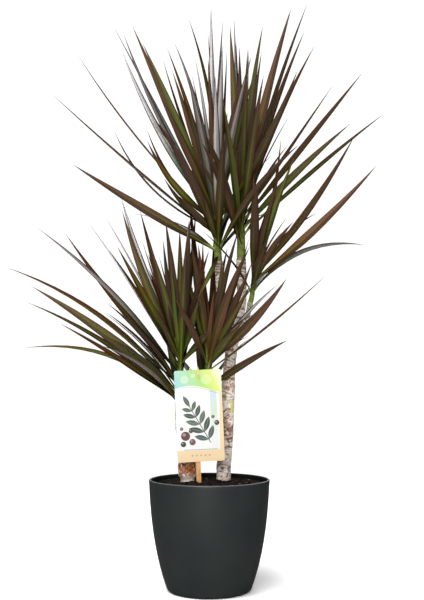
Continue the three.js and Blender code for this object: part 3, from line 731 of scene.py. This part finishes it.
def card_material():
    """The print: a wavy band of blue, green and yellow, a leafy sprig with berries, and a cream border."""
    shade = Shade("printed_card", paper=0.55, Specular_IOR_Level=0.5, Coat_Weight=0.25, Coat_Roughness=0.2)
    u, v = shade.value("u"), shade.value("v")
    root_x, root_y, lean, reach = 17, 30, 0.5, 74

    def seen_from(x, y, across, up, turn):
        """The place as seen from (x, y) by someone who leans by the turn, in shares of the two sizes."""
        cos, sin, du, dv = math.cos(turn), math.sin(turn), u - x, v - y
        return du * (cos / across) + dv * (sin / across), dv * (cos / up) - du * (sin / up)

    def disc(x, y, radius, soft=0.06):
        a, b = seen_from(x, y, radius, radius, 0)
        return (a * a + b * b).between(1 - soft, 1 + soft, 1, 0)

    def within(value, middle, reach, soft=0.4):
        return abs(value - middle).between(reach - soft, reach + soft, 1, 0)

    def paint_leaf(share, half_width, length, turn, tone):
        """A pointed leaf with a pale midrib, which grows a share up the sprig and turns away from it."""
        x, y = root_x - math.sin(lean) * reach * share, root_y + math.cos(lean) * reach * share
        a, b = seen_from(x, y, half_width, length, lean + turn)
        room = b * (1 - b) * 4 - abs(a)
        shadow = (a + room).between(0.1, 0.9, 0, 0.35)
        shade.paint(room.between(0, 0.14), shade.mix(shadow, tone, (24, 34, 32)))
        shade.paint(within(a, 0, 0.07, 0.05) * room.between(0.1, 0.3) * 0.6, (158, 180, 148))

    mist = shade.noise(0.05, 3, shade.vector(u, v))
    shade.colour = shade.mix(mist.between(0.4, 0.7, 0, 0.25), (250, 250, 246), (226, 236, 240))
    rise = v.between(40, 118, kind="LINEAR")
    bar = shade.ramp(rise, (0, 236, 242, 240), (0.5, 196, 226, 190), (1, 192, 208, 236))
    shade.paint(within(u, 24, 5.5) * 0.75, bar)
    above = v - (shade.math("SINE", u * 0.052 + 2.3) * 6.5 + 117)
    tint = (v * 0.4 + u).between(10, 92, kind="LINEAR")
    band = shade.ramp(
        tint, (0, 150, 208, 216), (0.28, 168, 222, 180), (0.55, 176, 228, 108), (0.82, 226, 240, 110),
        (1, 244, 248, 214),
    )
    shade.paint(above.between(-0.5, 0.5), band)
    shade.paint(within(above, -2.2, 0.5, 0.35) * 0.6, (120, 160, 96))
    for x, y, radius, strength in (
        (-22, 134, 6.5, 0.35), (-8, 140, 3.6, 0.45), (14, 133, 8.5, 0.3), (27, 141, 3, 0.5),
    ):
        shade.paint(disc(x, y, radius) * strength, (246, 252, 214))

    a, b = seen_from(root_x, root_y, 0.7, reach, lean)
    shade.paint(within(a, 0, 1, 0.3) * within(b, 0.5, 0.5, 0.02), (74, 62, 48))
    for share, length, half_width, *tone in (
        (0.08, 25, 4.6, 72, 96, 84), (0.27, 27, 4.9, 50, 72, 62), (0.46, 25, 4.6, 88, 112, 88),
        (0.64, 22, 4.2, 42, 60, 52), (0.8, 18, 3.6, 66, 92, 68),
    ):
        for turn in (0.82, -0.82):
            paint_leaf(share, half_width, length, turn, tone)
    paint_leaf(0.9, 4, 22, 0, (58, 84, 66))
    for x, y, radius, *tone in (
        (-24, 42, 7.5, 98, 40, 48), (-13, 32, 5.2, 112, 74, 62), (-28, 29, 4.4, 52, 40, 40),
        (-15, 50, 3.6, 74, 46, 40), (-30, 54, 3, 132, 96, 80), (28, 62, 4.2, 84, 46, 48),
        (22, 72, 2.8, 112, 74, 62),
    ):
        shade.paint(disc(x, y, radius), tone)
        shade.paint(disc(x - radius * 0.3, y + radius * 0.3, radius * 0.35, 0.5) * 0.35, (236, 226, 216))

    right = u - (v * 0.035 + 30.5)
    border = shade.math("MAXIMUM", right.between(-0.4, 0.4), v.between(18.2, 19, 1, 0))
    shade.paint(border * v.between(108, 116, 1, 0), (250, 220, 172))
    shade.paint(within(v, 19.6, 0.4, 0.3) * within(u, 0, 27, 0.6), (120, 132, 138))
    for x in (-14, -7, 0, 7, 14):
        shade.paint(disc(x, 10, 1.5, 0.3) * 0.6, (150, 118, 76))
    back = shade.mix(mist.between(0.3, 0.7, 0, 0.4), (246, 244, 236), (232, 230, 220))
    shade.colour = shade.mix(shade.value("front"), back, shade.colour)
    paper = shade.noise(1800)
    return shade.finish(paper.between(0.3, 0.7, 0.3, 0.38), (paper, 0.00006, 0.4))


def make_card():
    """The card as two skins with a rounded outline, joined round the edge."""
    u, v = rounded_sheet(CARD_WIDTH, CARD_HEIGHT, CARD_CORNER, rows=61, columns=33)
    skins = [
        np.stack([u + CARD_SHIFT, np.full(u.shape, depth), v + CARD_BOTTOM], -1)
        for depth in (-GAP - CARD_THICKNESS, -GAP)
    ]
    shape = Shape()
    shape.add_tube(
        leaning(both_skins(*skins)), u=both_skins(u, u), v=both_skins(v, v),
        front=both_skins(np.ones_like(u), np.zeros_like(u)),
    )
    shape.make("tag_card_printed", card_material(), "tag_card", smooth_shading=False)


def stick_material():
    shade = Shade("stick_wood_coloured", Specular_IOR_Level=0.3)
    grain, up = shade.noise(900, 3, (1, 1, 0.05), roughness=0.6), shade.value("up")
    shade.colour = shade.ramp(grain, (0.3, 128, 88, 46), (0.5, 172, 126, 74), (0.7, 194, 150, 98))
    shade.paint(shade.noise(120, 2, (1, 1, 0.2)).between(0.4, 0.7, 0, 0.4), (206, 164, 110))
    shade.paint(up.between(0.343, 0.362), (190, 180, 112))
    shade.paint(up.between(0.174, 0.184, 0.75, 0), (60, 42, 28))
    return shade.finish(0.6, (grain, 0.0003, 0.6))


def bevelled(outline, thickness, bevel=0.45):
    """Rows of points of a flat piece in X and Z, from its back to its front, with its edges rounded off."""
    outline = np.array(outline, float)
    ahead, behind = unit(np.roll(outline, -1, axis=0) - outline), unit(outline - np.roll(outline, 1, axis=0))
    inward = unit(np.stack([-(ahead + behind)[:, 1], (ahead + behind)[:, 0]], 1))
    steps = [(0, bevel), (bevel * 0.3, bevel * 0.3), (bevel, 0)]
    rows = []
    for depth, pull in steps + [(thickness - depth, pull) for depth, pull in reversed(steps)]:
        place = outline + inward * pull
        rows.append(np.stack([place[:, 0], np.full(len(place), thickness - depth), place[:, 1]], 1))
    return np.array(rows)


def make_stick():
    """The forked holder; its right prong is folded over the card's top edge and down its front."""
    outer, inner = PRONG_SPREAD + PRONG_WIDTH / 2, PRONG_SPREAD - PRONG_WIDTH / 2
    half, tip = HOLDER_WIDTH / 2, HOLDER_TOP - 2
    right = [
        (0.8, HOLDER_BOTTOM), (half, HOLDER_BOTTOM + 14), (half, HOLDER_FORK - 12), (outer, HOLDER_FORK + 8),
        (outer, tip), (PRONG_SPREAD, HOLDER_TOP), (inner, tip), (inner, HOLDER_FORK + 10), (0, HOLDER_FORK),
    ]
    fork = bevelled(right + [(-x, z) for x, z in reversed(right[:-1])], HOLDER_THICKNESS)
    back, front = HOLDER_THICKNESS - 0.5, -CARD_THICKNESS - 2 * GAP
    face, low, fold = front - HOOK_THICKNESS, HOOK_TOP - 4, HOOK_TOP - HOOK_THICKNESS
    bend = bevelled([
        (face, HOOK_BOTTOM), (front, HOOK_BOTTOM), (front, fold), (0, fold), (0, low), (back, low),
        (back, HOOK_TOP), (face, HOOK_TOP),
    ], PRONG_WIDTH, 0.2)
    hook = np.stack([outer - bend[..., 1], bend[..., 0], bend[..., 2]], -1)
    shape = Shape()
    for rows in (fork, hook):
        points = leaning(rows)
        shape.add_tube(points, up=points[..., 2] * MM)
    shape.make("tag_stick", stick_material(), "tag_holder", smooth_shading=False)


# ---- Heads of leaves: the same rule and the same draws as the source's ----
HEADS = {
    "leaves_tall_left": {
        "shoot": TALL_LEFT, "radius": 6.6, "tip": (216, 214, -2),
        "count": 23, "lengths": (205, 320), "start": 0.4,
        "looks": "bbbsllbbbbobolbossbslbboboobogb",
        "outer": [
            (132, 25, -30, 0, 1), (298, 69, -95, -0.04, 0.9), (72, 164, -60, -0.01, 1),
            (122, 51, 45, -0.035, 0.9), (123, 32, 10, -0.03, 0.6), (114, 27, 70, 0, 0.4),
            (78, 55, 25, -0.03, 0.35), (52, 94, -25, -0.01, 0.4), (114, 130, 70, -0.1, 0.4),
            (147, 129, 90, -0.08, 0.5), (147, 140, 20, -0.08, 0.8), (163, 60, 30, -0.01, 0.5),
            (167, 48, -35, 0.03, 0.7), (174, 42, 60, 0.05, 0.7), (192, 75, 90, 0.02, 0.4),
            (188, 17, 5, 0.05, 0.6), (195, 58, 110, 0.04, 0.5), (211, 5, -15, -0.03, 0.9),
            (208, 33, 40, 0.02, 0.4), (212, 55, 80, 0.02, 0.8), (223, 20, 20, 0.02, 0.5),
            (227, 50, 60, -0.02, 0.4), (160, 95, -80, 0.02, 0.8), (186, 100, -95, 0.03, 0.9),
            (179, 196, -70, -0.02, 0.9), (164, 178, 50, -0.06, 0.8), (196, 300, -60, -0.03, 0.6),
            (186, 150, 20, -0.02, 0.8), (205, 200, -95, 0, 0.9), (142, 42, -70, 0.01, 0.9),
            (172, 70, -75, 0.01, 0.8),
        ],
    },
    "leaves_tall_middle": {
        "shoot": TALL_TRUNK, "radius": 7.6, "tip": (241, 212, 14),
        "count": 24, "lengths": (205, 320), "start": 1.9,
        "looks": "obobgblbobbsbssgbbs",
        "outer": [
            (230, 25, -30, 0, 1), (290, 11, -25, 0.014, 1), (351, 123, -30, 0.02, 0.9),
            (363, 72, 5, 0, 0.7), (263, 25, -10, 0.02, 0.8), (308, 2, 15, 0.02, 0.6),
            (292, 6, 45, 0.01, 0.7), (315, 45, -45, 0.03, 0.6), (385, 113, 35, 0.015, 0.5),
            (333, 85, 60, 0, 0.35), (305, 30, 80, 0.02, 0.6), (234, 17, 30, 0, 0.5),
            (236, 40, 70, 0, 0.6), (241, 66, 100, 0, 0.5), (249, 48, 60, 0, 0.6), (200, 160, -60, 0, 0.8),
            (253, 178, -65, 0.02, 0.7), (262, 118, -85, 0.04, 0.9), (278, 60, 110, 0.03, 0.5),
        ],
    },
    "leaves_tall_right": {
        "shoot": TALL_RIGHT, "radius": 4.6, "tip": (254, 274, 2),
        "count": 13, "lengths": (120, 190), "start": 3.1,
        "looks": "bblgbbgoob",
        "outer": [
            (377, 165, -30, -0.025, 1), (355, 135, 30, -0.03, 0.8), (365, 245, -10, 0.15, 0.5),
            (294, 158, -55, 0.02, 0.9), (281, 138, 40, -0.04, 0.6), (317, 213, 60, 0.08, 0.3),
            (285, 230, 80, 0.05, 0.4), (253, 190, -15, 0, 0.8), (259, 212, 45, 0, 0.6),
            (280, 172, -90, 0.02, 0.7),
        ],
    },
    "leaves_short_left": {
        "shoot": SHORT_LEFT, "radius": 7, "tip": (181, 354, -12),
        "count": 24, "lengths": (185, 280), "start": 0.9,
        "looks": "boloboosbossbobobgsbgobgobob",
        "outer": [
            (5, 267, -20, 0.08, 0.6), (31, 286, -50, 0.03, 1), (36, 227, -5, 0.045, 0.6),
            (26, 302, 25, 0.05, 0.6), (59, 323, -40, 0.02, 0.6), (24, 348, -10, 0.13, 0.5),
            (122, 210, -50, -0.03, 1), (121, 197, 0, -0.02, 0.8), (65, 233, 50, -0.02, 0.7),
            (85, 307, -90, 0.02, 0.4), (88, 222, 80, 0.015, 0.3), (106, 218, 50, 0.015, 0.3),
            (109, 250, 25, 0.01, 0.5), (117, 246, -30, 0, 0.8), (140, 210, -35, -0.005, 0.8),
            (142, 240, 80, 0, 0.3), (163, 239, -60, -0.04, 0.8), (167, 231, -20, 0.03, 0.5),
            (180, 240, 30, -0.05, 0.3), (207, 256, -75, 0.01, 0.6), (199, 298, -40, -0.02, 0.9),
            (226, 318, -48, 0.02, 0.8), (190, 235, -90, -0.02, 0.6), (170, 258, -90, 0, 0.6),
            (196, 208, -20, -0.02, 0.6), (148, 268, -85, 0.02, 0.6), (160, 275, 60, 0, 0.5),
            (150, 300, -90, 0.03, 0.6),
        ],
    },
    "leaves_short_right": {
        "shoot": SHORT_RIGHT, "radius": 7, "tip": (209, 354, -20),
        "count": 24, "lengths": (185, 280), "start": 2.6,
        "looks": "bbbbbbobggobobobobogb",
        "outer": [
            (287, 278, -55, -0.04, 1), (325, 276, -50, -0.02, 0.3), (288, 340, 62, 0.02, 0.8),
            (257, 313, -80, 0.1, 0.3), (252, 262, -60, -0.02, 0.8), (249, 238, -70, -0.02, 0.4),
            (251, 284, -95, 0, 0.7), (189, 193, 30, -0.02, 0.8), (222, 258, -75, -0.02, 0.7),
            (187, 280, -25, 0.02, 0.8), (236, 300, 70, 0.03, 0.5), (214, 235, 45, -0.02, 0.6),
            (243, 322, -45, 0.03, 0.8), (176, 300, -62, 0.02, 0.8), (233, 344, -50, 0.05, 0.7),
            (203, 240, 40, -0.02, 0.6), (225, 262, 0, 0, 0.6), (214, 290, -110, 0, 0.8),
            (229, 285, -95, 0.02, 0.6), (190, 250, 70, 0, 0.5), (240, 287, 20, 0.02, 0.6),
        ],
    },
}

# greenness, painted silver sheen and duskiness of a blade: bronze, olive, green, silver, lilac or maroon
LOOKS = {
    "b": (0.3, 0, 0.15), "o": (0.68, 0, 0.1), "g": (1.05, 0, 0), "s": (0.5, 1.0, 0.3), "l": (0.3, 0.35, 0.8),
    "m": (0.22, 0, 0.9),
}
SPIRAL_LOOKS = "bbbbmmoogsl"
TOP_SPIRAL_LOOKS = "bbmogssslll"


class Leaf:
    """A leaf bends along a quadratic curve, its middle raised by bow, and its width runs along side.

    The width lies square to the direction towards, and is then turned about the leaf.
    """

    def __init__(self, root, tip, bow, width, towards, turn):
        chord = tip - root
        along = unit(chord)
        level = unit(np.cross(along, UP))
        raised = np.cross(level, along) * 2 * bow * np.linalg.norm(chord)
        self.points = (root, root + 0.5 * chord + raised, tip)
        flat = unit(np.cross(along, towards))
        side = flat * math.cos(turn) + np.cross(along, flat) * math.sin(turn)
        self.side = -side if side @ level < 0 else side
        self.width = width

    def at(self, t):
        t = np.asarray(t, float)[..., None]
        a, b, c = self.points
        return (1 - t) ** 2 * a + 2 * (1 - t) * t * b + t**2 * c

    def tangent(self, t):
        near = 0.0001
        return unit(self.at(np.minimum(t + near, 1)) - self.at(np.maximum(t - near, 0)))

    def half_width(self, t):
        growing = ROOT_SHARE + (1 - ROOT_SHARE) * smooth(t / WIDEST)
        tapering = 1 - np.clip((t - WIDEST) / (1 - WIDEST), 0, None) ** 1.5
        return (self.width / 2) * np.where(t < WIDEST, growing, tapering)

    def across(self, t):
        along = self.tangent(t)
        return unit(self.side - along * dot(self.side, along)[..., None])


def dot(a, b):
    return np.sum(a * b, axis=-1)


Stretches = namedtuple("Stretches", "a b across half owner part")


def stretches_of(a, b, across, half, owner, part=0):
    """Rows of straight stretches: ends, direction across the blade (or none), half width, owner and part."""
    across = np.broadcast_to(across, (len(a), 3))
    return Stretches(a, b, across, *(np.broadcast_to(value, len(a)) for value in (half, owner, part)))


def joined(*several):
    return Stretches(*(np.concatenate(columns) for columns in zip(*several)))


def leaf_stretches(leaf, owner):
    ends = np.arange(SPINE_PARTS + 1) / SPINE_PARTS
    halves, places = leaf.half_width(ends), leaf.at(ends)
    across, half = leaf.across((ends[:-1] + ends[1:]) / 2), np.maximum(halves[:-1], halves[1:])
    return stretches_of(places[:-1], places[1:], across, half, owner, np.arange(SPINE_PARTS))


def round_stretches(points, half, owner):
    points = np.array(points)
    return stretches_of(points[:-1], points[1:], (0, 0, 0), half, owner)


def tag_stretches(owner):
    half = CARD_WIDTH / 2 / TAG_STRIPS
    x = CARD_SHIFT + (2 * np.arange(TAG_STRIPS) + 1 - TAG_STRIPS) * half
    a, b = (leaning(np.stack([x, 0 * x, 0 * x + z], 1)) for z in (CARD_BOTTOM, HOLDER_TOP))
    return stretches_of(a, b, (1, 0, 0), half + 1, owner)


def is_clear(new, taken, rooted):
    """Whether the new stretches keep off the taken ones; near their roots, leaves of one head may meet."""
    u = (new.b - new.a)[:, None]
    v = (taken.b - taken.a)[None]
    w = new.a[:, None] - taken.a[None]
    uu, uv, vv, uw, vw = dot(u, u), dot(u, v), dot(v, v), dot(u, w), dot(v, w)
    det = uu * vv - uv * uv
    crossing = np.where(det > 1, np.clip((uv * vw - vv * uw) / np.where(det > 1, det, 1), 0, 1), 0.5)
    t = np.clip((uv * crossing + vw) / vv, 0, 1)
    s = np.clip((uv * t - uw) / uu, 0, 1)
    apart = w + u * s[..., None] - v * t[..., None]
    distance = np.sqrt(dot(apart, apart))
    direction = apart / np.maximum(distance, 1e-9)[..., None]
    siblings = new.owner[:, None] == taken.owner[None]
    room = np.where(siblings, SIBLING_MARGIN, LEAF_MARGIN)
    for across, half in ((new.across[:, None], new.half[:, None]), (taken.across[None], taken.half[None])):
        room = room + half * np.where(dot(across, across) == 0, 1, np.abs(dot(across, direction)))
    may_touch = siblings & (np.minimum(new.part[:, None], taken.part[None]) < rooted)
    return not np.any((distance < room) & ~may_touch)


def stem_of(head):
    end = head["shoot"][-1]
    direction = unit(end - head["shoot"][-2])
    base, neck, top = end + direction * GAP, end + direction * 12, from_view(*head["tip"])
    return {"base": base, "top": top, "radius": head["radius"], "path": [base, neck, (neck + top) / 2, top]}


def root_of(stem, along):
    rise = stem["top"] - stem["base"]
    steep = float(smooth((along @ unit(rise) - ROOT_SPREAD) / (1 - ROOT_SPREAD)))
    lowest = ROOT_LOWEST / np.linalg.norm(rise)
    return stem["base"] + rise * (lowest + (ROOT_HIGHEST - lowest) * steep)


DEPTH_STEP = 9
TURN_STEP = math.radians(7)
SIDESTEPS = [math.ceil(i / 2) * (1 if i % 2 else -1) for i in range(17)]


def outer_leaf(stem, written, width, sidestep):
    px, py, depth, bow, shown = written
    tip = from_view(px, py, depth + sidestep * DEPTH_STEP)
    root = root_of(stem, unit(tip - stem["base"]))
    return Leaf(root, tip, bow, width, TO_VIEWER, math.acos(shown))


def spiral_leaf(stem, age, bearing, length, roll, width, sidestep):
    drawn = bearing + CROWDING * math.sin(2 * bearing) + sidestep * TURN_STEP
    rise = math.radians(STEEPEST - (STEEPEST - FLATTEST) * age**0.9)
    flat = math.cos(rise)
    along = np.array([flat * math.cos(drawn), flat * math.sin(drawn), math.sin(rise)])
    root = root_of(stem, along)
    reach = length * (1 - SIDEWAYS * abs(math.cos(drawn)))
    return Leaf(root, root + along * reach, 0.01 + 0.07 * age, width, UP, -roll)


def plant_leaves(stems):
    """Each head's leaves, every one stepped aside until it is clear of what stands, or left out."""
    owners = {name: i for i, name in enumerate(stems)}
    cane, tag = len(owners), len(owners) + 1
    canes = (
        (TALL_TRUNK, TALL_RADII), (TALL_LEFT, LEFT_RADII), (TALL_RIGHT, RIGHT_RADII),
        (SHORT_TRUNK, SHORT_RADII), (SHORT_LEFT, SIDE_RADII), (SHORT_RIGHT, SIDE_RADII),
    )
    taken = joined(
        *(round_stretches(points, max(radius for _, radius in radii), cane) for points, radii in canes),
        tag_stretches(tag),
        *(round_stretches([s["base"], s["top"]], s["radius"], owners[name]) for name, s in stems.items()),
    )
    planted = {name: [] for name in stems}

    def place(name, look, grow, *given):
        nonlocal taken
        for rooted in (1, 2, SPINE_PARTS):
            for sidestep in SIDESTEPS:
                leaf = grow(stems[name], *given, sidestep)
                stretches = leaf_stretches(leaf, owners[name])
                if is_clear(stretches, taken, rooted):
                    leaf.look = look
                    planted[name].append(leaf)
                    taken = joined(taken, stretches)
                    return

    draw, look_draw = seeded_draw(11), seeded_draw(211)
    for name, head in HEADS.items():
        for written, look in zip(head["outer"], head["looks"]):
            place(name, look, outer_leaf, written, LEAF_WIDTH * draw(0.9, 1.08))
    for name, head in HEADS.items():
        short, long = head["lengths"]
        for i in range(head["count"]):
            age = (i + 0.5) / head["count"]
            bearing = head["start"] + i * GOLDEN_ANGLE
            length = (short + (long - short) * math.sin(math.pi * (0.2 + 0.6 * age))) * draw(0.92, 1.06)
            roll = draw(-0.6, 0.6)
            width = LEAF_WIDTH * draw(0.85, 1.02)
            looks = TOP_SPIRAL_LOOKS if name == "leaves_tall_left" and age < 0.55 else SPIRAL_LOOKS
            look = looks[int(look_draw(0, len(looks)))]
            place(name, look, spiral_leaf, age, bearing, length, roll, width)
    return planted


def leaf_material():
    """Brown blades with green hearts; green, painted silver sheen and dusk give each blade's share of each
    look.
    """
    shade = Shade("leaf_bronze_satin", Specular_IOR_Level=0.05)
    names = ("along", "side", "chance", "inside", "green", "silver", "dusk")
    along, side, chance, inside, green, silver, dusk = (shade.value(name) for name in names)
    reach = abs(side)
    lines = shade.noise(3, 3, shade.vector(side * 7, along * 3, chance * 40), roughness=0.7)
    drift = shade.noise(1.4, 2, shade.vector(along * 5, chance * 60, side)).between(0.3, 0.7)

    def heart(width, narrowing, soft):
        """The share of a band along the midrib, as wide as the blade is green, that narrows to its tip."""
        half = green * width - along * narrowing + (lines * 0.3 - 0.15)
        return (half - reach).between(-soft, soft)

    brown = shade.ramp(
        chance, (0, 84, 45, 18), (0.25, 60, 36, 19), (0.45, 94, 52, 22), (0.7, 52, 32, 21), (1, 86, 50, 28)
    )
    shade.colour = shade.mix(dusk, brown, (56, 37, 34))
    olive = shade.ramp(chance, (0, 78, 66, 20), (0.5, 58, 60, 24), (1, 88, 76, 24))
    shade.paint(heart(1.3, 0.75, 0.55) * drift.between(0, 1, 0.55, 1), olive)
    fresh = shade.ramp(chance, (0, 72, 104, 12), (0.5, 92, 122, 18), (1, 52, 84, 18))
    shade.paint(heart(1, 1.05, 0.7) * 0.9, fresh)
    shade.paint(heart(0.22, 0.12, 0.08) * 0.25, (112, 124, 48))
    # painted sheen: silvery grey laid over blades with a silver look, fading at their edges and base
    gleam = shade.mix(along.between(0.15, 0.75), (148, 174, 148), (208, 204, 208))
    streak = (reach + lines * 0.7).between(0.8, 1.15, 1, 0)
    shade.paint(silver * streak * along.between(0.08, 0.4), gleam)
    pale = shade.ramp(chance, (0, 112, 140, 52), (1, 152, 168, 84))
    shade.paint((along + reach * 0.05).between(0.04, 0.14, 1, 0), pale)
    shade.paint(lines.between(0.35, 0.65, 0, 0.4), (22, 15, 9))
    # painted shade: one half of each blade, left or right by chance, darker as if the fold kept light off it
    shaded_half = side * chance.between(0.49, 0.51, -1, 1)
    shade.paint(shaded_half.between(-0.08, 0.08, 0, 0.45), (26, 17, 10))
    shade.paint(reach.between(0.8, 0.95) * along.between(0.04, 0.14, 0, 0.8), (46, 20, 16))
    shade.paint((1 - inside) * along.between(0.2, 0.5, 0, 0.1), (124, 112, 96))
    # painted shade: each blade's upper skin darkens towards its base; on stems this value marks their worn
    # rings
    shade.paint(inside * along.between(0.12, 0.5, 0.94, 0), (12, 12, 6))
    shade.paint(along.between(0.95, 0.985) * chance.between(0.5, 0.6), (104, 78, 54))
    return shade.finish(lines.between(0.3, 0.7, 0.4, 0.52), (lines, 0.0004, 0.5))


SECTIONS = np.array([
    0, 0.015, 0.035, 0.06, 0.1, 0.15, 0.21, 0.28, 0.36, 0.44, 0.52, 0.6, 0.68, 0.76, 0.84, 0.9, 0.95, 0.985,
])
ACROSS = np.array([-1, -0.72, -0.4, -0.13, 0, 0.13, 0.4, 0.72, 1])


def add_leaf(shape, leaf, draw):
    """A blade with a shallow channel, a midrib under its lower half, thin edges and a clasping base."""
    t = SECTIONS
    centre, along, across = leaf.at(t), leaf.tangent(t), leaf.across(t)
    clasp = 1 - smooth(t / 0.07)
    half = leaf.half_width(t) * (1 + 0.5 * clasp)
    sway, phase = draw(0.02, 0.1), draw(0, 6.3)
    under = np.cross(along, across)
    twist = sway * np.sin(t * draw(4, 9) + phase) * smooth(t / 0.3) * (1 - t)
    across = unit(across + under * twist[:, None])
    under = np.cross(along, across)
    s = ACROSS[None, :]
    fold = (0.95 + 0.45 * (1 - t) + 1.2 * clasp)[:, None]
    channel = fold * (1 - np.abs(s) ** 1.15) * np.minimum(half / 4, 1)[:, None]
    body = (0.28 + 0.22 * (1 - t))[:, None] * (1 - 0.75 * np.abs(s))
    rib = (0.55 * (1 - t) ** 1.5)[:, None] * bell(s / 0.14)
    top = channel - 0.12 * bell(s / 0.1) * (1 - t)[:, None]
    bottom = channel + body + rib
    offset = across[:, None] * (s * half[:, None])[..., None]

    def skin(depth):
        return centre[:, None] + offset + under[:, None] * depth[..., None]

    rows = both_skins(skin(top), skin(bottom))
    side = np.concatenate([ACROSS, ACROSS[::-1]])
    # inside marks the upper skin, which the leaf material paints with shade near the base
    inside = np.repeat([1.0, 0.0], len(ACROSS))
    columns = len(side)
    points = np.concatenate([rows.reshape(-1, 3), leaf.at(1)[None]])
    faces = grid_faces(len(t), columns)
    last = (len(t) - 1) * columns
    faces += [(last + j, last + (j + 1) % columns, len(points) - 1) for j in range(columns)]
    faces.append(tuple(range(columns))[::-1])
    green, silver, dusk = LOOKS[leaf.look]
    shape.add(
        points, faces, along=np.append(np.repeat(t, columns), 1), side=np.append(np.tile(side, len(t)), 0),
        inside=np.append(np.tile(inside, len(t)), 0), chance=draw(0, 1),
        green=green + draw(-0.1, 0.1), silver=silver * draw(0.7, 1), dusk=dusk * draw(0.6, 1),
    )


def add_stem(shape, stem):
    """The green tip of the shoot, ringed by the bases of its leaves."""
    rows, sides = 60, 28
    path = Path(stem["path"], rows)
    radii = [(0, stem["radius"]), (0.6, stem["radius"] * 0.9), (1, 2.6)]
    base = np.array([value_at(radii, share) for share in path.share])
    rings = np.abs(np.sin(path.up * math.pi / 3.8))
    worn = 0.6 * bell(rings / 0.35) * smooth((0.5 - path.share) / 0.4)
    turn = np.arange(sides) * 2 / sides
    wrap = np.abs((turn + (path.up / 11)[:, None]) % 1 * 2 - 1)
    shape.add_tube(
        path.around((base - 0.25 * rings)[:, None], sides), along=np.repeat(0.02 + 0.11 * path.share, sides),
        side=np.where(wrap > 0.8, wrap, 0.5 * wrap), inside=np.repeat(worn, sides), chance=0.9,
        green=1, silver=0, dusk=0,
    )


def make_heads():
    leaf_look = leaf_material()
    stems = {name: stem_of(head) for name, head in HEADS.items()}
    for index, (name, leaves) in enumerate(plant_leaves(stems).items()):
        shape = Shape()
        draw = seeded_draw(101 + index)
        add_stem(shape, stems[name])
        for leaf in leaves:
            add_leaf(shape, leaf, draw)
        shape.make(name.replace("leaves", "head"), leaf_look, name)


# ---- Camera, floor and lights ----
PICTURE_LONG_SIDE, SENSOR = 600, 36
FLOOR_RADII = (0.001, 0.5, 1.0, 1.5)
FLOOR_SIDES = 96
ROOM_LIGHT, ROOM_SHINE, ROOM_SEEN = 0.14, 0.06, 1.1
LIGHTS_MEET = (0, 0, 0.45)
SOFT_BOXES = (
    ("light_key", (-0.75, -1.3, 2.7), (1.3, 1.3), 92),
    ("light_front", (-0.3, -2.8, 1.3), (1.2, 1.6), 86),
    ("light_top", (0.0, 0.2, 3.0), (2.4, 2.4), 13),
    ("light_right", (2.4, -0.6, 1.3), (1.0, 1.8), 9),
    ("light_back", (0.3, 2.6, 1.9), (2.4, 1.6), 44),
)


def make_camera():
    camera = bpy.data.cameras.new("camera")
    camera.sensor_width = SENSOR
    camera.lens = VIEW_FOCAL / PICTURE_LONG_SIDE * SENSOR
    camera.clip_start, camera.clip_end = 0.05, 60
    holder = add_object("camera", camera)
    holder.location = (VIEW_X * MM, -VIEW_DISTANCE * MM, VIEW_HEIGHT * MM)
    holder.rotation_euler = (math.pi / 2 + VIEW_PITCH, 0, 0)
    bpy.context.scene.camera = holder


def make_floor():
    """A round table top; away from the plant the camera sees it glow, and what shines sees it dark."""
    shade = Shade("floor_pale", Specular_IOR_Level=0.1, Emission_Color=(1, 1, 1, 1))
    from_plant = shade.node("ShaderNodeVectorMath", {0: shade.place()}, "Value", operation="LENGTH")
    shade.set("Emission Strength", from_plant.between(0.1, 0.3, 0.07, 0.6) * shade.ray("Is Camera Ray"))
    pale = shade.noise(3, 1).between(0.3, 0.7, 0.86, 0.88, "LINEAR")
    shade.colour = shade.ray("Is Glossy Ray").between(0, 1, pale, 0.12, "LINEAR")
    mesh = bpy.data.meshes.new("floor")
    rows = lathe([(radius, 0) for radius in FLOOR_RADII], FLOOR_SIDES)
    mesh.from_pydata(rows.reshape(-1, 3).tolist(), [], grid_faces(len(FLOOR_RADII), FLOOR_SIDES))
    mesh.materials.append(shade.finish(0.9))
    floor = add_object("floor", mesh)


def make_light():
    """A pale room and soft boxes; the room shows white behind the plant and dimmer in what shines."""
    shade = Shade("studio", world=True, Color=(1, 1, 1, 1))
    bpy.context.scene.world = shade.owner
    shine = shade.ray("Is Glossy Ray").between(0, 1, ROOM_LIGHT, ROOM_SHINE, "LINEAR")
    shade.set("Strength", shade.ray("Is Camera Ray").between(0, 1, shine, ROOM_SEEN, "LINEAR"))
    for name, place, size, power in SOFT_BOXES:
        light = bpy.data.lights.new(name, "AREA")
        light.shape = "RECTANGLE"
        light.size, light.size_y = size
        light.energy = power
        holder = add_object(name, light)
        holder.location = place
        holder.rotation_euler = (Vector(LIGHTS_MEET) - Vector(place)).to_track_quat("-Z", "Y").to_euler()
    bpy.context.scene.view_settings.view_transform = "Standard"


make_camera()
make_floor()
make_light()
make_pot()
make_soil()
bark = bark_material()
make_tall_cane(bark)
make_short_cane(bark)
make_strip()
make_card()
make_stick()
make_heads()
